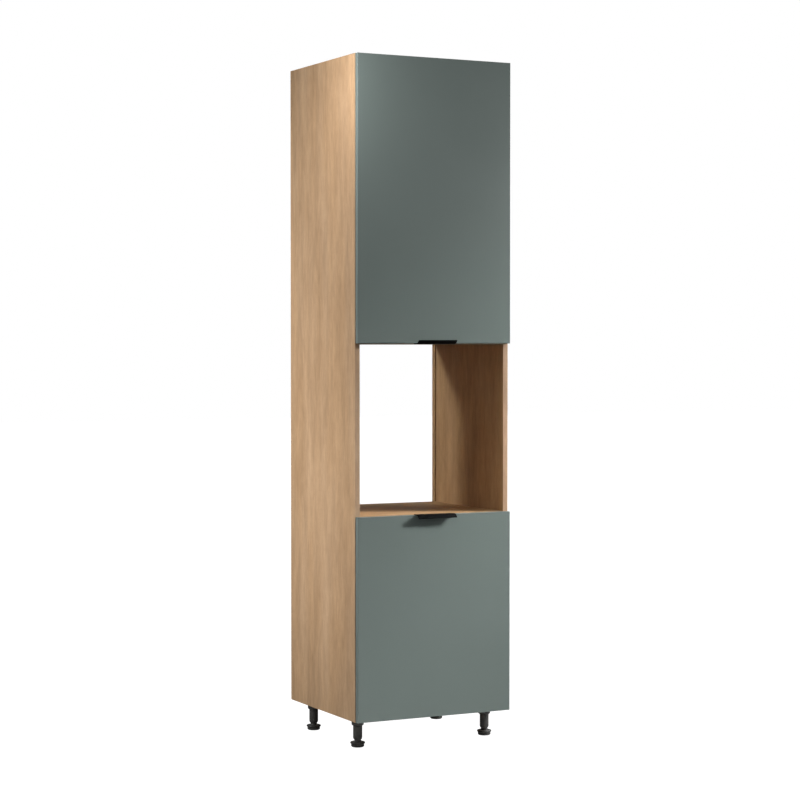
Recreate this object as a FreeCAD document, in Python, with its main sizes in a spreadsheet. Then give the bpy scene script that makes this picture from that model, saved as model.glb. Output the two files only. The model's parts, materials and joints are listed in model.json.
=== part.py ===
import FreeCAD, Part
import math
import operator
import os

import Sketcher
from FreeCAD import Placement, Rotation, Vector

# Tall oven-housing cabinet: a board carcass on four adjustable legs, with an open oven niche
# between a lower and an upper door. Lengths are millimetres.
# +X runs right across the front, +Y to the back, +Z up. The origin lies on the floor under the
# middle of the cabinet, counted from the front of the handles to the back of the carcass.

DRIVING_SIZES = [
    ("carcass_width", 600, "outside width of the carcass"),
    ("carcass_depth", 540, "front edge band to rear edge of the side panels"),
    ("carcass_height", 2290, "height of the side panels"),
    ("board", 18, "thickness of the carcass boards"),
    ("band", 1, "thickness of the front edge bands"),
    ("oven_level", 707.5, "top of the oven shelf above the carcass bottom"),
    ("niche_height", 590, "clear height of the oven niche"),
    ("back_board", 8, "thickness of the back panels"),
    ("groove_play", 0.2, "groove width less back panel thickness"),
    ("groove_depth", 8, "depth of the back panel groove"),
    ("groove_inset", 23, "rear edge of the side panel to the groove"),
    ("groove_end_gap", 1, "back panel edge to the bottom of its groove"),
    ("shelf_setback", 20, "loose shelf front behind the carcass front"),
    ("shelf_side_gap", 1.5, "loose shelf end to side panel"),
    ("shelf_back_gap", 3, "loose shelf to back panel"),
    ("pin_radius", 2.5, "radius of the shelf pin in the board"),
    ("pin_depth", 8, "shelf pin length in the board"),
    ("pin_collar_radius", 4.5, "radius of the shelf pin collar"),
    ("pin_collar", 1, "thickness of the shelf pin collar"),
    ("pin_rest_radius", 3.5, "radius of the shelf pin under the shelf"),
    ("pin_rest", 9, "shelf pin length under the shelf, with its collar"),
    ("pin_row_front", 60, "carcass front to the front row of pin holes"),
    ("pin_row_rear", 448, "carcass front to the rear row of pin holes"),
    ("pin_pitch", 32, "distance between pin holes in a row"),
    ("dowel_radius", 4, "radius of the wooden dowels"),
    ("dowel_in_side", 10, "dowel length in the side panel"),
    ("dowel_in_panel", 20, "dowel length in the fixed panel"),
    ("dowel_inset", 40, "panel front or rear edge to the dowel"),
    ("bolt_inset", 130, "panel front or rear edge to the cam bolt"),
    ("cam_radius", 7.5, "radius of the cam housing"),
    ("cam_height", 13.5, "height of the cam housing"),
    ("cam_inset", 34, "panel end to the middle of the cam housing"),
    ("cam_bore", 3.6, "radius of the bolt's way into the cam housing"),
    ("bolt_thread_radius", 2.5, "radius of the cam bolt's thread"),
    ("bolt_thread", 11, "thread length in the side panel"),
    ("bolt_shank_radius", 3, "radius of the cam bolt's shank"),
    ("bolt_head_radius", 3.4, "radius of the cam bolt's head"),
    ("bolt_bore", 4, "radius of the bolt's bore in the panel end"),
    ("fit", 0.05, "radial play of pins, dowels and screws in their holes"),
    ("hole_end", 0.5, "depth of a blind hole past its screw or dowel"),
    ("door_thickness", 18, "thickness of the doors"),
    ("door_gap", 2, "door back to carcass front"),
    ("side_reveal", 1.5, "door edge inside the carcass side"),
    ("end_reveal", 1, "door end inside the carcass top or bottom"),
    ("shelf_reveal", 1, "lower door below the top of the oven shelf"),
    ("niche_reveal", 4, "upper door above the top of the niche"),
    ("door_edge_round", 1, "rounding of the door's front edges"),
    ("handle_length", 150, "length of the edge handles"),
    ("handle_sheet", 2.2, "thickness of the handle's grip"),
    ("handle_reach", 23, "handle front before the door face"),
    ("handle_lip", 14, "height of the handle's nose"),
    ("handle_bend", 18, "outer radius where the handle's plate bends into its nose"),
    ("tab_height", 26, "height of the handle's tab behind the door"),
    ("tab_sheet", 1.5, "thickness of the handle's tab"),
    ("tab_play", 0.2, "handle tab to the sides of its recess"),
    ("handle_screw_span", 128, "distance between the handle screws"),
    ("handle_screw_drop", 14, "door end to the handle screws"),
    ("cup_radius", 17.5, "radius of the hinge cup"),
    ("cup_depth", 12, "depth of the hinge cup in the door"),
    ("cup_edge", 5, "door edge to the hinge cup"),
    ("cup_wall", 1, "wall of the hinge cup"),
    ("flange_sheet", 1, "thickness of the cup flange"),
    ("flange_inner", 16, "cup middle to the inner edge of the flange"),
    ("flange_outer", 3, "cup middle to the outer edge of the flange ears"),
    ("flange_half_height", 27.5, "half height of the cup flange"),
    ("flange_notch", 12, "carcass side to the inner end of the flange notch"),
    ("cup_screw_offset", 9.5, "cup middle to the line of the cup screws"),
    ("cup_screw_span", 45, "distance between the cup screws"),
    ("cup_pivot_in", 11.3, "carcass side to the cup pivot"),
    ("cup_pivot_out", 7, "carcass front to the cup pivot, outwards"),
    ("link_bend_in", 20, "carcass side to the bend of the link"),
    ("link_bend_out", 10.4, "carcass front to the bend of the link, outwards"),
    ("arm_pivot_in", 35.1, "carcass side to the arm pivot"),
    ("arm_pivot_back", 12.9, "carcass front to the arm pivot, inwards"),
    ("link_sheet", 2.2, "thickness of the hinge link"),
    ("link_width", 15, "width of the hinge link at the arm"),
    ("link_neck_width", 9, "width of the hinge link in the cup"),
    ("link_eye_radius", 2.8, "outer radius of the link's eyes"),
    ("pivot_radius", 1.25, "radius of the hinge pivots"),
    ("cup_pin_length", 16, "length of the cup pivot"),
    ("lug_play", 0.7, "pivot lug to the side of the hinge link"),
    ("lug_half_height", 8.5, "cup middle to the outer side of a pivot lug"),
    ("lug_outer", 2.3, "cup pivot to the outer edge of its lugs"),
    ("lug_inner", 3.2, "cup pivot to the inner edge of its lugs"),
    ("lug_above", 2.5, "cup pivot to the top of its lugs"),
    ("arm_top", 40.5, "carcass side to the top of the hinge arm"),
    ("arm_low", 24, "carcass side to the low edge of the hinge arm"),
    ("arm_nose_low", 30.5, "carcass side to the low edge of the arm's nose"),
    ("arm_front", 6, "carcass front to the nose of the hinge arm"),
    ("arm_knee", 24, "carcass front to where the arm's nose begins"),
    ("arm_end", 70, "carcass front to the end of the hinge arm"),
    ("arm_sheet", 1.5, "sheet thickness of the hinge arm"),
    ("arm_width", 21, "width of the hinge arm"),
    ("plate_setback", 37, "carcass front to the mounting plate's screws"),
    ("plate_screw_span", 32, "distance between the mounting plate's screws"),
    ("plate_sheet", 2, "thickness of the mounting plate's wings"),
    ("plate_wing_depth", 20, "depth of the mounting plate's wings"),
    ("plate_wing_height", 48, "height of the mounting plate over its wings"),
    ("block_front", 28, "carcass front to the mounting plate's block"),
    ("block_end", 66, "carcass front to the end of the block"),
    ("block_play", 0.2, "block to the inside of the hinge arm, each side"),
    ("arm_screw_setback", 56, "carcass front to the arm screw"),
    ("hinge_inset", 100, "door end to the nearest hinge"),
    ("screw_tip", 2, "length of a screw's tip"),
    ("drive_half", 1.6, "half length of a screw's cross recess"),
    ("drive_width", 0.8, "width of a screw's cross recess"),
    ("drive_depth", 0.7, "depth of a screw's cross recess"),
    ("head_play", 0.3, "radial play of a screw in a plate"),
    ("cup_screw_head", 3.2, "head radius of the cup screws"),
    ("cup_screw_head_height", 1.1, "head height of the cup screws"),
    ("cup_screw_radius", 1.6, "shank radius of the cup screws"),
    ("cup_screw_length", 13, "shank length of the cup screws"),
    ("plate_screw_head", 4, "head radius of the mounting plate screws"),
    ("plate_screw_head_height", 1.6, "head height of the mounting plate screws"),
    ("plate_screw_radius", 2.5, "shank radius of the mounting plate screws"),
    ("plate_screw_length", 13, "shank length of the mounting plate screws"),
    ("arm_screw_head", 4, "head radius of the arm screws"),
    ("arm_screw_head_height", 2, "head height of the arm screws"),
    ("arm_screw_radius", 2, "shank radius of the arm screws"),
    ("arm_screw_length", 10, "shank length of the arm screws"),
    ("handle_screw_head", 3.4, "head radius of the handle screws"),
    ("handle_screw_head_height", 1.4, "head height of the handle screws"),
    ("handle_screw_radius", 1.75, "shank radius of the handle screws"),
    ("handle_screw_length", 13, "shank length of the handle screws"),
    ("bumper_radius", 4, "radius of the door bumpers"),
    ("bumper_play", 0.3, "door bumper to carcass front"),
    ("bumper_inset", 9, "door edges to the middle of a bumper"),
    ("leg_height", 100, "floor to carcass bottom"),
    ("leg_side_inset", 48.5, "carcass side to the middle of a leg"),
    ("leg_front_inset", 81, "carcass front to the middle of a front leg"),
    ("leg_rear_inset", 91, "carcass rear to the middle of a rear leg"),
    ("peg_radius", 5, "radius of the leg's peg in the bottom panel"),
    ("peg_length", 12, "length of the leg's peg"),
    ("socket_radius", 22, "radius of the leg socket"),
    ("socket_drop", 25, "height of the leg socket"),
    ("socket_taper", 3, "height of the socket's tapered end"),
    ("socket_floor", 6, "solid top of the leg socket"),
    ("socket_lip", 1.6, "wall of the socket at its lower end"),
    ("column_radius", 16, "radius of the leg column"),
    ("column_rise", 27, "floor to the column's lower end"),
    ("column_taper", 6, "height of the column's tapered end"),
    ("column_lip", 1.6, "wall of the column at its lower end"),
    ("column_roof", 8, "solid top of the leg column"),
    ("stem_radius", 12.4, "radius of the foot's stem"),
    ("stem_play", 0.3, "foot stem to the column's bore"),
    ("stem_drop", 26, "carcass bottom to the top of the foot's stem"),
    ("disc_radius", 26, "radius of the foot's rim"),
    ("disc_rise", 18, "floor to the top of the foot's rim"),
    ("disc_edge", 4, "thickness of the foot's rim at its edge"),
    ("disc_slope", 4, "height of the slope under the foot's rim"),
    ("pad_radius", 22.4, "radius of the foot's pad"),
    ("pad_round", 3, "bevel of the pad at the floor"),
    ("stem_flare", 2, "bevel between the foot's stem and rim"),
]

doc = FreeCAD.newDocument("tall_cabinet")
sheet = doc.addObject("Spreadsheet::Sheet", "Sizes")


class Size:
    """A number together with the sheet formula that gives it."""

    def __init__(self, value, formula):
        self.value = value
        self.formula = formula

    def __add__(self, other):
        return joined(self, "+", other)

    def __radd__(self, other):
        return joined(other, "+", self)

    def __sub__(self, other):
        return joined(self, "-", other)

    def __rsub__(self, other):
        return joined(other, "-", self)

    def __mul__(self, other):
        return joined(self, "*", other)

    def __rmul__(self, other):
        return joined(other, "*", self)

    def __truediv__(self, other):
        return joined(self, "/", other)

    def __neg__(self):
        return joined(0, "-", self)


SIGNS = {"+": operator.add, "-": operator.sub, "*": operator.mul, "/": operator.truediv}


def sized(number):
    """Gives plain numbers the same form as sizes from the sheet."""
    return number if isinstance(number, Size) else Size(float(number), repr(float(number)))


def joined(left, sign, right):
    left, right = sized(left), sized(right)
    return Size(SIGNS[sign](left.value, right.value), f"({left.formula} {sign} {right.formula})")


def distance(across, along):
    across, along = sized(across), sized(along)
    return Size(math.hypot(across.value, along.value), f"sqrt({across.formula}^2 + {along.formula}^2)")


def heading(across, along):
    """Angle of a direction from the X axis, in degrees."""
    across, along = sized(across), sized(along)
    angle = math.degrees(math.atan2(along.value, across.value))
    return Size(angle, f"atan2({along.formula}; {across.formula})")


def sine(angle):
    return Size(math.sin(math.radians(angle.value)), f"sin({angle.formula})")


def cosine(angle):
    return Size(math.cos(math.radians(angle.value)), f"cos({angle.formula})")


class Sheet:
    """The driving sizes, each read by its name."""


S = Sheet()
for row, (alias, number, meaning) in enumerate(DRIVING_SIZES, start=1):
    sheet.set(f"A{row}", meaning)
    sheet.set(f"B{row}", str(number))
    sheet.setAlias(f"B{row}", alias)
    setattr(S, alias, Size(float(number), f"Sizes.{alias}"))
doc.recompute()

# Places worked out from the driving sizes
FRONT = (S.handle_reach + S.door_thickness + S.door_gap - S.carcass_depth) / 2
BOARD_FRONT = FRONT + S.band
SIDE = S.carcass_width / 2
INNER = SIDE - S.board
CLEAR_WIDTH = S.carcass_width - 2 * S.board
GROOVE_WIDTH = S.back_board + S.groove_play
SLOPE_SHARE = math.sqrt(0.5)
SIDE_DEPTH = S.carcass_depth - S.band
PANEL_DEPTH = SIDE_DEPTH - S.groove_inset - GROOVE_WIDTH
NICHE_TOP = S.oven_level + S.niche_height
DOOR_WIDTH = S.carcass_width - 2 * S.side_reveal
DOOR_FRONT = FRONT - S.door_gap - S.door_thickness
UPPER_BAY = (S.carcass_height - NICHE_TOP - 4 * S.board) / 3

# Undersides of the panels above the carcass bottom
FIXED_PANELS = {
    "bottom_panel": sized(0),
    "oven_shelf": S.oven_level - S.board,
    "niche_top_panel": NICHE_TOP,
    "top_panel": S.carcass_height - S.board,
}
CAMS_BELOW = ("bottom_panel", "oven_shelf")
LOOSE_SHELVES = {
    "lower_shelf": (S.oven_level - S.board) / 2,
    "upper_shelf_low": NICHE_TOP + S.board + UPPER_BAY,
    "upper_shelf_high": NICHE_TOP + 2 * S.board + 2 * UPPER_BAY,
}
DOORS = {
    "lower": (S.end_reveal, S.oven_level - S.shelf_reveal),
    "upper": (NICHE_TOP + S.niche_reveal, S.carcass_height - S.end_reveal),
}
HINGE_LEVELS = {
    "lower": [DOORS["lower"][0] + S.hinge_inset, DOORS["lower"][1] - S.hinge_inset],
    "upper": [
        DOORS["upper"][0] + S.hinge_inset,
        (DOORS["upper"][0] + DOORS["upper"][1]) / 2,
        DOORS["upper"][1] - S.hinge_inset,
    ],
}
DOWEL_ROWS = [S.dowel_inset, PANEL_DEPTH - S.dowel_inset]
BOLT_ROWS = [S.bolt_inset, PANEL_DEPTH - S.bolt_inset]
PIN_ROWS = [S.pin_row_front, S.pin_row_rear]
PIN_HOLES_PER_ROW = 5
CUP_MIDDLE = S.side_reveal + S.cup_edge + S.cup_radius
PIN_SINK = S.pin_rest_radius
SHELF_WIDTH = CLEAR_WIDTH - 2 * S.shelf_side_gap
SHELF_DEPTH = PANEL_DEPTH - S.shelf_setback - S.shelf_back_gap
LEG_ROWS = {"front": S.leg_front_inset, "rear": S.carcass_depth - S.leg_rear_inset}

nodes = []


def bind(item, path, size):
    item.setExpression(path, sized(size).formula)


def put(item, x=0, y=0, z=0, turn=None):
    """Places an item, with an optional turn about its own origin."""
    if turn is not None:
        item.Placement = Placement(Vector(), turn)
    for axis, size in zip("xyz", (x, y, z)):
        bind(item, "Placement.Base." + axis, size)
    return item


def node(item, label):
    """Names an item as one of the cabinet's sub-parts."""
    item.Label = label
    nodes.append(item)
    return item


def new_body(name):
    return doc.addObject("PartDesign::Body", name)


def sketch_on(body, plane, offset=0):
    sketch = body.newObject("Sketcher::SketchObject", "Sketch")
    support = next(item for item in body.Origin.OriginFeatures if item.Role == plane)
    sketch.AttachmentSupport = [(support, "")]
    sketch.MapMode = "FlatFace"
    bind(sketch, "AttachmentOffset.Base.z", offset)
    return sketch


def fix_point(sketch, geometry, point, x, y):
    for kind, size in (("DistanceX", x), ("DistanceY", y)):
        rule = Sketcher.Constraint(kind, -1, 1, geometry, point, sized(size).value)
        bind(sketch, f"Constraints[{sketch.addConstraint(rule)}]", size)


def draw_outline(sketch, points):
    corners = [Vector(sized(x).value, sized(y).value, 0) for x, y in points]
    ends = corners[1:] + corners[:1]
    sides = [sketch.addGeometry(Part.LineSegment(*pair)) for pair in zip(corners, ends)]
    for side, following in zip(sides, sides[1:] + sides[:1]):
        sketch.addConstraint(Sketcher.Constraint("Coincident", side, 2, following, 1))
    for side, (x, y) in zip(sides, points):
        fix_point(sketch, side, 1, x, y)
    return sketch


def draw_rectangle(sketch, x_low, y_low, x_high, y_high):
    return draw_outline(sketch, [(x_low, y_low), (x_high, y_low), (x_high, y_high), (x_low, y_high)])


def draw_circles(sketch, centres, radius):
    radius = sized(radius)
    for x, y in centres:
        middle = Vector(sized(x).value, sized(y).value, 0)
        index = sketch.addGeometry(Part.Circle(middle, Vector(0, 0, 1), radius.value))
        fix_point(sketch, index, 3, x, y)
        rule = sketch.addConstraint(Sketcher.Constraint("Radius", index, radius.value))
        bind(sketch, f"Constraints[{rule}]", radius)
    return sketch


def pad(body, sketch, length, reverse=False, symmetric=False):
    feature = body.newObject("PartDesign::Pad", "Pad")
    feature.Profile = sketch
    feature.Reversed = reverse
    feature.SideType = "Symmetric" if symmetric else "One side"
    bind(feature, "Length", length)
    doc.recompute()
    return feature


def pocket(body, sketch, depth, reverse=False, symmetric=False):
    """Cuts a sketch into a body and makes sure that the cut meets the solid."""
    before = body.Shape.Volume
    feature = body.newObject("PartDesign::Pocket", "Pocket")
    feature.Profile = sketch
    feature.Reversed = reverse
    feature.SideType = "Symmetric" if symmetric else "One side"
    bind(feature, "Length", depth)
    doc.recompute()
    if body.Shape.Volume >= before:
        raise RuntimeError(f"a cut misses {body.Name}")
    return feature


def row_of(body, feature, sketch, axis, length, count):
    """Repeats a cut along an axis of its sketch."""
    pattern = body.newObject("PartDesign::LinearPattern", "Row")
    pattern.Originals = [feature]
    pattern.Direction = (sketch, [axis])
    bind(pattern, "Length", length)
    pattern.Occurrences = count
    body.Tip = pattern
    doc.recompute()
    return pattern


def round_edges(body, base, radius, wanted):
    """Rounds the edges of a feature whose two ends pass the test."""
    names = [
        f"Edge{index}"
        for index, edge in enumerate(base.Shape.Edges, start=1)
        if all(wanted(vertex.Point) for vertex in edge.Vertexes)
    ]
    fillet = body.newObject("PartDesign::Fillet", "Fillet")
    fillet.Base = (base, names)
    bind(fillet, "Radius", radius)
    doc.recompute()
    return fillet


def turned(name, profile):
    """A body turned about its Z axis from (radius, height) corners."""
    body = new_body(name)
    sketch = draw_outline(sketch_on(body, "XZ_Plane"), profile)
    feature = body.newObject("PartDesign::Revolution", "Revolution")
    feature.Profile = sketch
    feature.ReferenceAxis = (sketch, ["V_Axis"])
    feature.Angle = 360
    doc.recompute()
    return body


def group(label, master, places, turn=None):
    """One sub-part of several equal solids, copied from a master to each place."""
    copies = []
    for place in places:
        copy = doc.addObject("App::Link", label + "_copy")
        copy.LinkedObject = master
        put(copy, *place[:3], turn=place[3] if len(place) > 3 else turn)
        copies.append(copy)
    compound = doc.addObject("Part::Compound", label)
    compound.Links = copies
    return node(compound, label)


def block(name, width, depth, height):
    """A board cut square, with its low front left corner at its origin."""
    body = new_body(name)
    pad(body, draw_rectangle(sketch_on(body, "XY_Plane"), 0, 0, width, depth), height)
    return body


# Directions that a part's own Z axis is turned to
TO_LEFT = Rotation(Vector(0, 1, 0), -90)
TO_RIGHT = Rotation(Vector(0, 1, 0), 90)
TO_BACK = Rotation(Vector(1, 0, 0), -90)
HALF_TURN = Rotation(Vector(0, 0, 1), 180)
UPSIDE_DOWN = Rotation(Vector(0, 1, 0), 180)


def make_side_panel(label, on_right):
    """A side panel with its groove and all the holes on its inner face."""
    body = block(label, S.board, SIDE_DEPTH, S.carcass_height)
    inner_face = sized(0) if on_right else S.board

    def inner_sketch():
        return sketch_on(body, "YZ_Plane", inner_face)

    def drill(centres, radius, depth):
        pocket(body, draw_circles(inner_sketch(), centres, radius), depth, reverse=on_right)

    groove = draw_rectangle(inner_sketch(), PANEL_DEPTH, 0, PANEL_DEPTH + GROOVE_WIDTH, S.carcass_height)
    pocket(body, groove, S.groove_depth, reverse=on_right)
    middles = [level + S.board / 2 for level in FIXED_PANELS.values()]
    dowel_holes = [(row, level) for level in middles for row in DOWEL_ROWS]
    drill(dowel_holes, S.dowel_radius + S.fit, S.dowel_in_side + S.hole_end)
    bolt_holes = [(row, level) for level in middles for row in BOLT_ROWS]
    drill(bolt_holes, S.bolt_thread_radius + S.fit, S.bolt_thread + S.hole_end)
    for level in LOOSE_SHELVES.values():
        lowest = level - PIN_SINK - S.pin_pitch * (PIN_HOLES_PER_ROW // 2)
        sketch = draw_circles(
            inner_sketch(), [(row - S.band, lowest) for row in PIN_ROWS], S.pin_radius + S.fit
        )
        first = pocket(body, sketch, S.pin_depth + S.hole_end, reverse=on_right)
        row_of(body, first, sketch, "V_Axis", S.pin_pitch * (PIN_HOLES_PER_ROW - 1), PIN_HOLES_PER_ROW)
    if on_right:
        plate_holes = [
            (S.plate_setback - S.band, level + side * S.plate_screw_span / 2)
            for levels in HINGE_LEVELS.values()
            for level in levels
            for side in (-1, 1)
        ]
        depth = S.plate_screw_length - S.plate_sheet + S.hole_end
        drill(plate_holes, S.plate_screw_radius + S.fit, depth)
    put(body, INNER if on_right else -SIDE, BOARD_FRONT, S.leg_height)
    return node(body, label)


def make_fixed_panel(label, level):
    """A panel between the sides, bored for its dowels, cam bolts and cam housings."""
    body = block(label, CLEAR_WIDTH, PANEL_DEPTH, S.board)
    for end, reverse in ((sized(0), True), (CLEAR_WIDTH, False)):
        dowels = draw_circles(
            sketch_on(body, "YZ_Plane", end),
            [(row, S.board / 2) for row in DOWEL_ROWS],
            S.dowel_radius + S.fit,
        )
        pocket(body, dowels, S.dowel_in_panel + S.hole_end, reverse=reverse)
        bolts = draw_circles(
            sketch_on(body, "YZ_Plane", end), [(row, S.board / 2) for row in BOLT_ROWS], S.bolt_bore
        )
        pocket(body, bolts, S.cam_inset, reverse=reverse)
    below = label in CAMS_BELOW
    seats = draw_circles(
        sketch_on(body, "XY_Plane", 0 if below else S.board),
        [(end, row) for end in (S.cam_inset, CLEAR_WIDTH - S.cam_inset) for row in BOLT_ROWS],
        S.cam_radius + S.fit,
    )
    pocket(body, seats, S.cam_height, reverse=below)
    if label == "bottom_panel":
        pegs = [
            (SIDE - S.board + side * (SIDE - S.leg_side_inset), row - S.band)
            for side in (-1, 1)
            for row in LEG_ROWS.values()
        ]
        sketch = draw_circles(sketch_on(body, "XY_Plane"), pegs, S.peg_radius + S.fit)
        pocket(body, sketch, S.peg_length + S.hole_end, reverse=True)
    put(body, -INNER, BOARD_FRONT, S.leg_height + level)
    return node(body, label)


def make_loose_shelves():
    for label, level in LOOSE_SHELVES.items():
        body = block(label, SHELF_WIDTH, SHELF_DEPTH, S.board)
        put(body, -SHELF_WIDTH / 2, FRONT + S.shelf_setback + S.band, S.leg_height + level)
        node(body, label)
    pin = turned(
        "shelf_pin",
        [
            (0, -S.pin_depth),
            (S.pin_radius, -S.pin_depth),
            (S.pin_radius, 0),
            (S.pin_collar_radius, 0),
            (S.pin_collar_radius, S.pin_collar),
            (S.pin_rest_radius, S.pin_collar),
            (S.pin_rest_radius, S.pin_rest),
            (0, S.pin_rest),
        ],
    )
    places = [
        (side * INNER, FRONT + row, S.leg_height + level - PIN_SINK, turn)
        for level in LOOSE_SHELVES.values()
        for side, turn in ((-1, TO_RIGHT), (1, TO_LEFT))
        for row in PIN_ROWS
    ]
    group("shelf_pins", pin, places)


def make_edge_bands():
    """Thin strips on the front edges of the boards."""
    tall = block("tall_band", S.board, S.band, S.carcass_height)
    wide = block("wide_band", CLEAR_WIDTH, S.band, S.board)
    shelf = block("shelf_band", SHELF_WIDTH, S.band, S.board)
    group("side_edge_bands", tall, [(x, FRONT, S.leg_height) for x in (-SIDE, INNER)])
    levels = FIXED_PANELS.values()
    group("panel_edge_bands", wide, [(-INNER, FRONT, S.leg_height + level) for level in levels])
    shelf_front = FRONT + S.shelf_setback
    levels = LOOSE_SHELVES.values()
    places = [(-SHELF_WIDTH / 2, shelf_front, S.leg_height + level) for level in levels]
    group("shelf_edge_bands", shelf, places)


def make_back_panels():
    width = CLEAR_WIDTH + 2 * (S.groove_depth - S.groove_end_gap)
    spans = {"lower_back_panel": (sized(0), S.oven_level), "upper_back_panel": (NICHE_TOP, S.carcass_height)}
    for label, (low, high) in spans.items():
        body = block(label, width, S.back_board, high - low)
        put(body, -width / 2, BOARD_FRONT + PANEL_DEPTH, S.leg_height + low)
        node(body, label)


def make_panel_joints():
    """Dowels, cam bolts and cam housings of the four fixed panels."""
    dowel = turned(
        "dowel",
        [
            (0, -S.dowel_in_side),
            (S.dowel_radius, -S.dowel_in_side),
            (S.dowel_radius, S.dowel_in_panel),
            (0, S.dowel_in_panel),
        ],
    )
    bolt_end = S.cam_inset + S.bolt_head_radius
    neck = S.cam_inset - S.bolt_head_radius
    bolt = turned(
        "cam_bolt",
        [
            (0, -S.bolt_thread),
            (S.bolt_thread_radius, -S.bolt_thread),
            (S.bolt_thread_radius, 0),
            (S.bolt_shank_radius, 0),
            (S.bolt_shank_radius, neck),
            (S.bolt_head_radius, S.cam_inset),
            (S.bolt_shank_radius, bolt_end),
            (0, bolt_end),
        ],
    )
    cam = new_body("cam_housing")
    pad(cam, draw_circles(sketch_on(cam, "XY_Plane"), [(0, 0)], S.cam_radius), S.cam_height)
    bore = draw_circles(sketch_on(cam, "YZ_Plane", -S.cam_radius), [(0, S.board / 2)], S.cam_bore)
    pocket(cam, bore, S.cam_radius + S.bolt_head_radius + S.hole_end, reverse=True)
    cross_half = S.cam_radius / 2
    slot = draw_rectangle(
        sketch_on(cam, "XY_Plane"), -cross_half, -S.drive_width, cross_half, S.drive_width
    )
    pocket(cam, slot, 2 * S.drive_depth, reverse=True)
    sides = ((-1, TO_RIGHT), (1, TO_LEFT))

    def joint_places(rows):
        return [
            (side * INNER, BOARD_FRONT + row, S.leg_height + level + S.board / 2, turn)
            for level in FIXED_PANELS.values()
            for side, turn in sides
            for row in rows
        ]

    group("dowels", dowel, joint_places(DOWEL_ROWS))
    group("cam_bolts", bolt, joint_places(BOLT_ROWS))
    places = []
    for label, level in FIXED_PANELS.items():
        below = label in CAMS_BELOW
        height = S.leg_height + level + (0 if below else S.board)
        for side in (-1, 1):
            turn = Rotation() if side < 0 else HALF_TURN
            if not below:
                turn = UPSIDE_DOWN if side > 0 else UPSIDE_DOWN.multiply(HALF_TURN)
            for row in BOLT_ROWS:
                places.append((side * (INNER - S.cam_inset), BOARD_FRONT + row, height, turn))
    group("cam_housings", cam, places)


def screw_head_up(name, head, head_height, radius, length):
    """A screw whose head rests on its origin plane and whose shank points down."""
    body = turned(
        name,
        [
            (0, head_height),
            (head, head_height),
            (head, 0),
            (radius, 0),
            (radius, S.screw_tip - length),
            (0, -length),
        ],
    )
    wide, thin = S.drive_half, S.drive_width / 2
    for across, along in ((wide, thin), (thin, wide)):
        cross = draw_rectangle(sketch_on(body, "XY_Plane", head_height), -across, -along, across, along)
        pocket(body, cross, S.drive_depth)
    return body


def make_door(name):
    """A door with its cup bores, pilot holes and handle recess, and what is screwed to it."""
    low, high = DOORS[name]
    height = high - low
    at_top = name == "lower"
    body = new_body(name + "_door")
    base = pad(
        body, draw_rectangle(sketch_on(body, "XY_Plane"), 0, 0, DOOR_WIDTH, S.door_thickness), height
    )
    round_edges(body, base, S.door_edge_round, lambda point: abs(point.y) < S.door_edge_round.value / 2)

    def back_sketch():
        return sketch_on(body, "XZ_Plane", -S.door_thickness)

    cup_x = DOOR_WIDTH - S.cup_edge - S.cup_radius
    levels = [level - low for level in HINGE_LEVELS[name]]
    cups = draw_circles(back_sketch(), [(cup_x, level) for level in levels], S.cup_radius + S.fit)
    pocket(body, cups, S.cup_depth + S.fit, reverse=True)
    cup_pilots = [
        (cup_x - S.cup_screw_offset, level + side * S.cup_screw_span / 2)
        for level in levels
        for side in (-1, 1)
    ]
    sketch = draw_circles(back_sketch(), cup_pilots, S.cup_screw_radius + S.fit)
    pocket(body, sketch, S.cup_screw_length - S.flange_sheet + S.hole_end, reverse=True)

    recess_half = S.handle_length / 2 + S.tab_play
    recess_depth = S.tab_height + S.tab_play
    handle_end = height if at_top else sized(0)
    recess_end = height - recess_depth if at_top else recess_depth
    recess = draw_rectangle(
        back_sketch(),
        DOOR_WIDTH / 2 - recess_half,
        recess_end if at_top else handle_end,
        DOOR_WIDTH / 2 + recess_half,
        handle_end if at_top else recess_end,
    )
    pocket(body, recess, S.tab_sheet, reverse=True)
    inward = -1 if at_top else 1
    screw_level = handle_end + inward * S.handle_screw_drop
    screw_xs = [DOOR_WIDTH / 2 + side * S.handle_screw_span / 2 for side in (-1, 1)]
    sketch = draw_circles(
        back_sketch(), [(x, screw_level) for x in screw_xs], S.handle_screw_radius + S.fit
    )
    pocket(body, sketch, S.handle_screw_length + S.hole_end, reverse=True)
    left, bottom = -DOOR_WIDTH / 2, S.leg_height + low
    put(body, left, DOOR_FRONT, bottom)
    node(body, name + "_door")

    door_back = DOOR_FRONT + S.door_thickness
    make_handle(name + "_handle", at_top, door_back, bottom + handle_end)
    places = [(left + x, door_back, bottom + screw_level) for x in screw_xs]
    group(name + "_handle_screws", screws["handle"], places, turn=TO_BACK)
    levels = (bottom + S.bumper_inset, bottom + height - S.bumper_inset)
    bumper_places = [(left + S.bumper_inset, door_back, level) for level in levels]
    group(name + "_door_bumpers", bumper, bumper_places, turn=TO_BACK)


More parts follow.
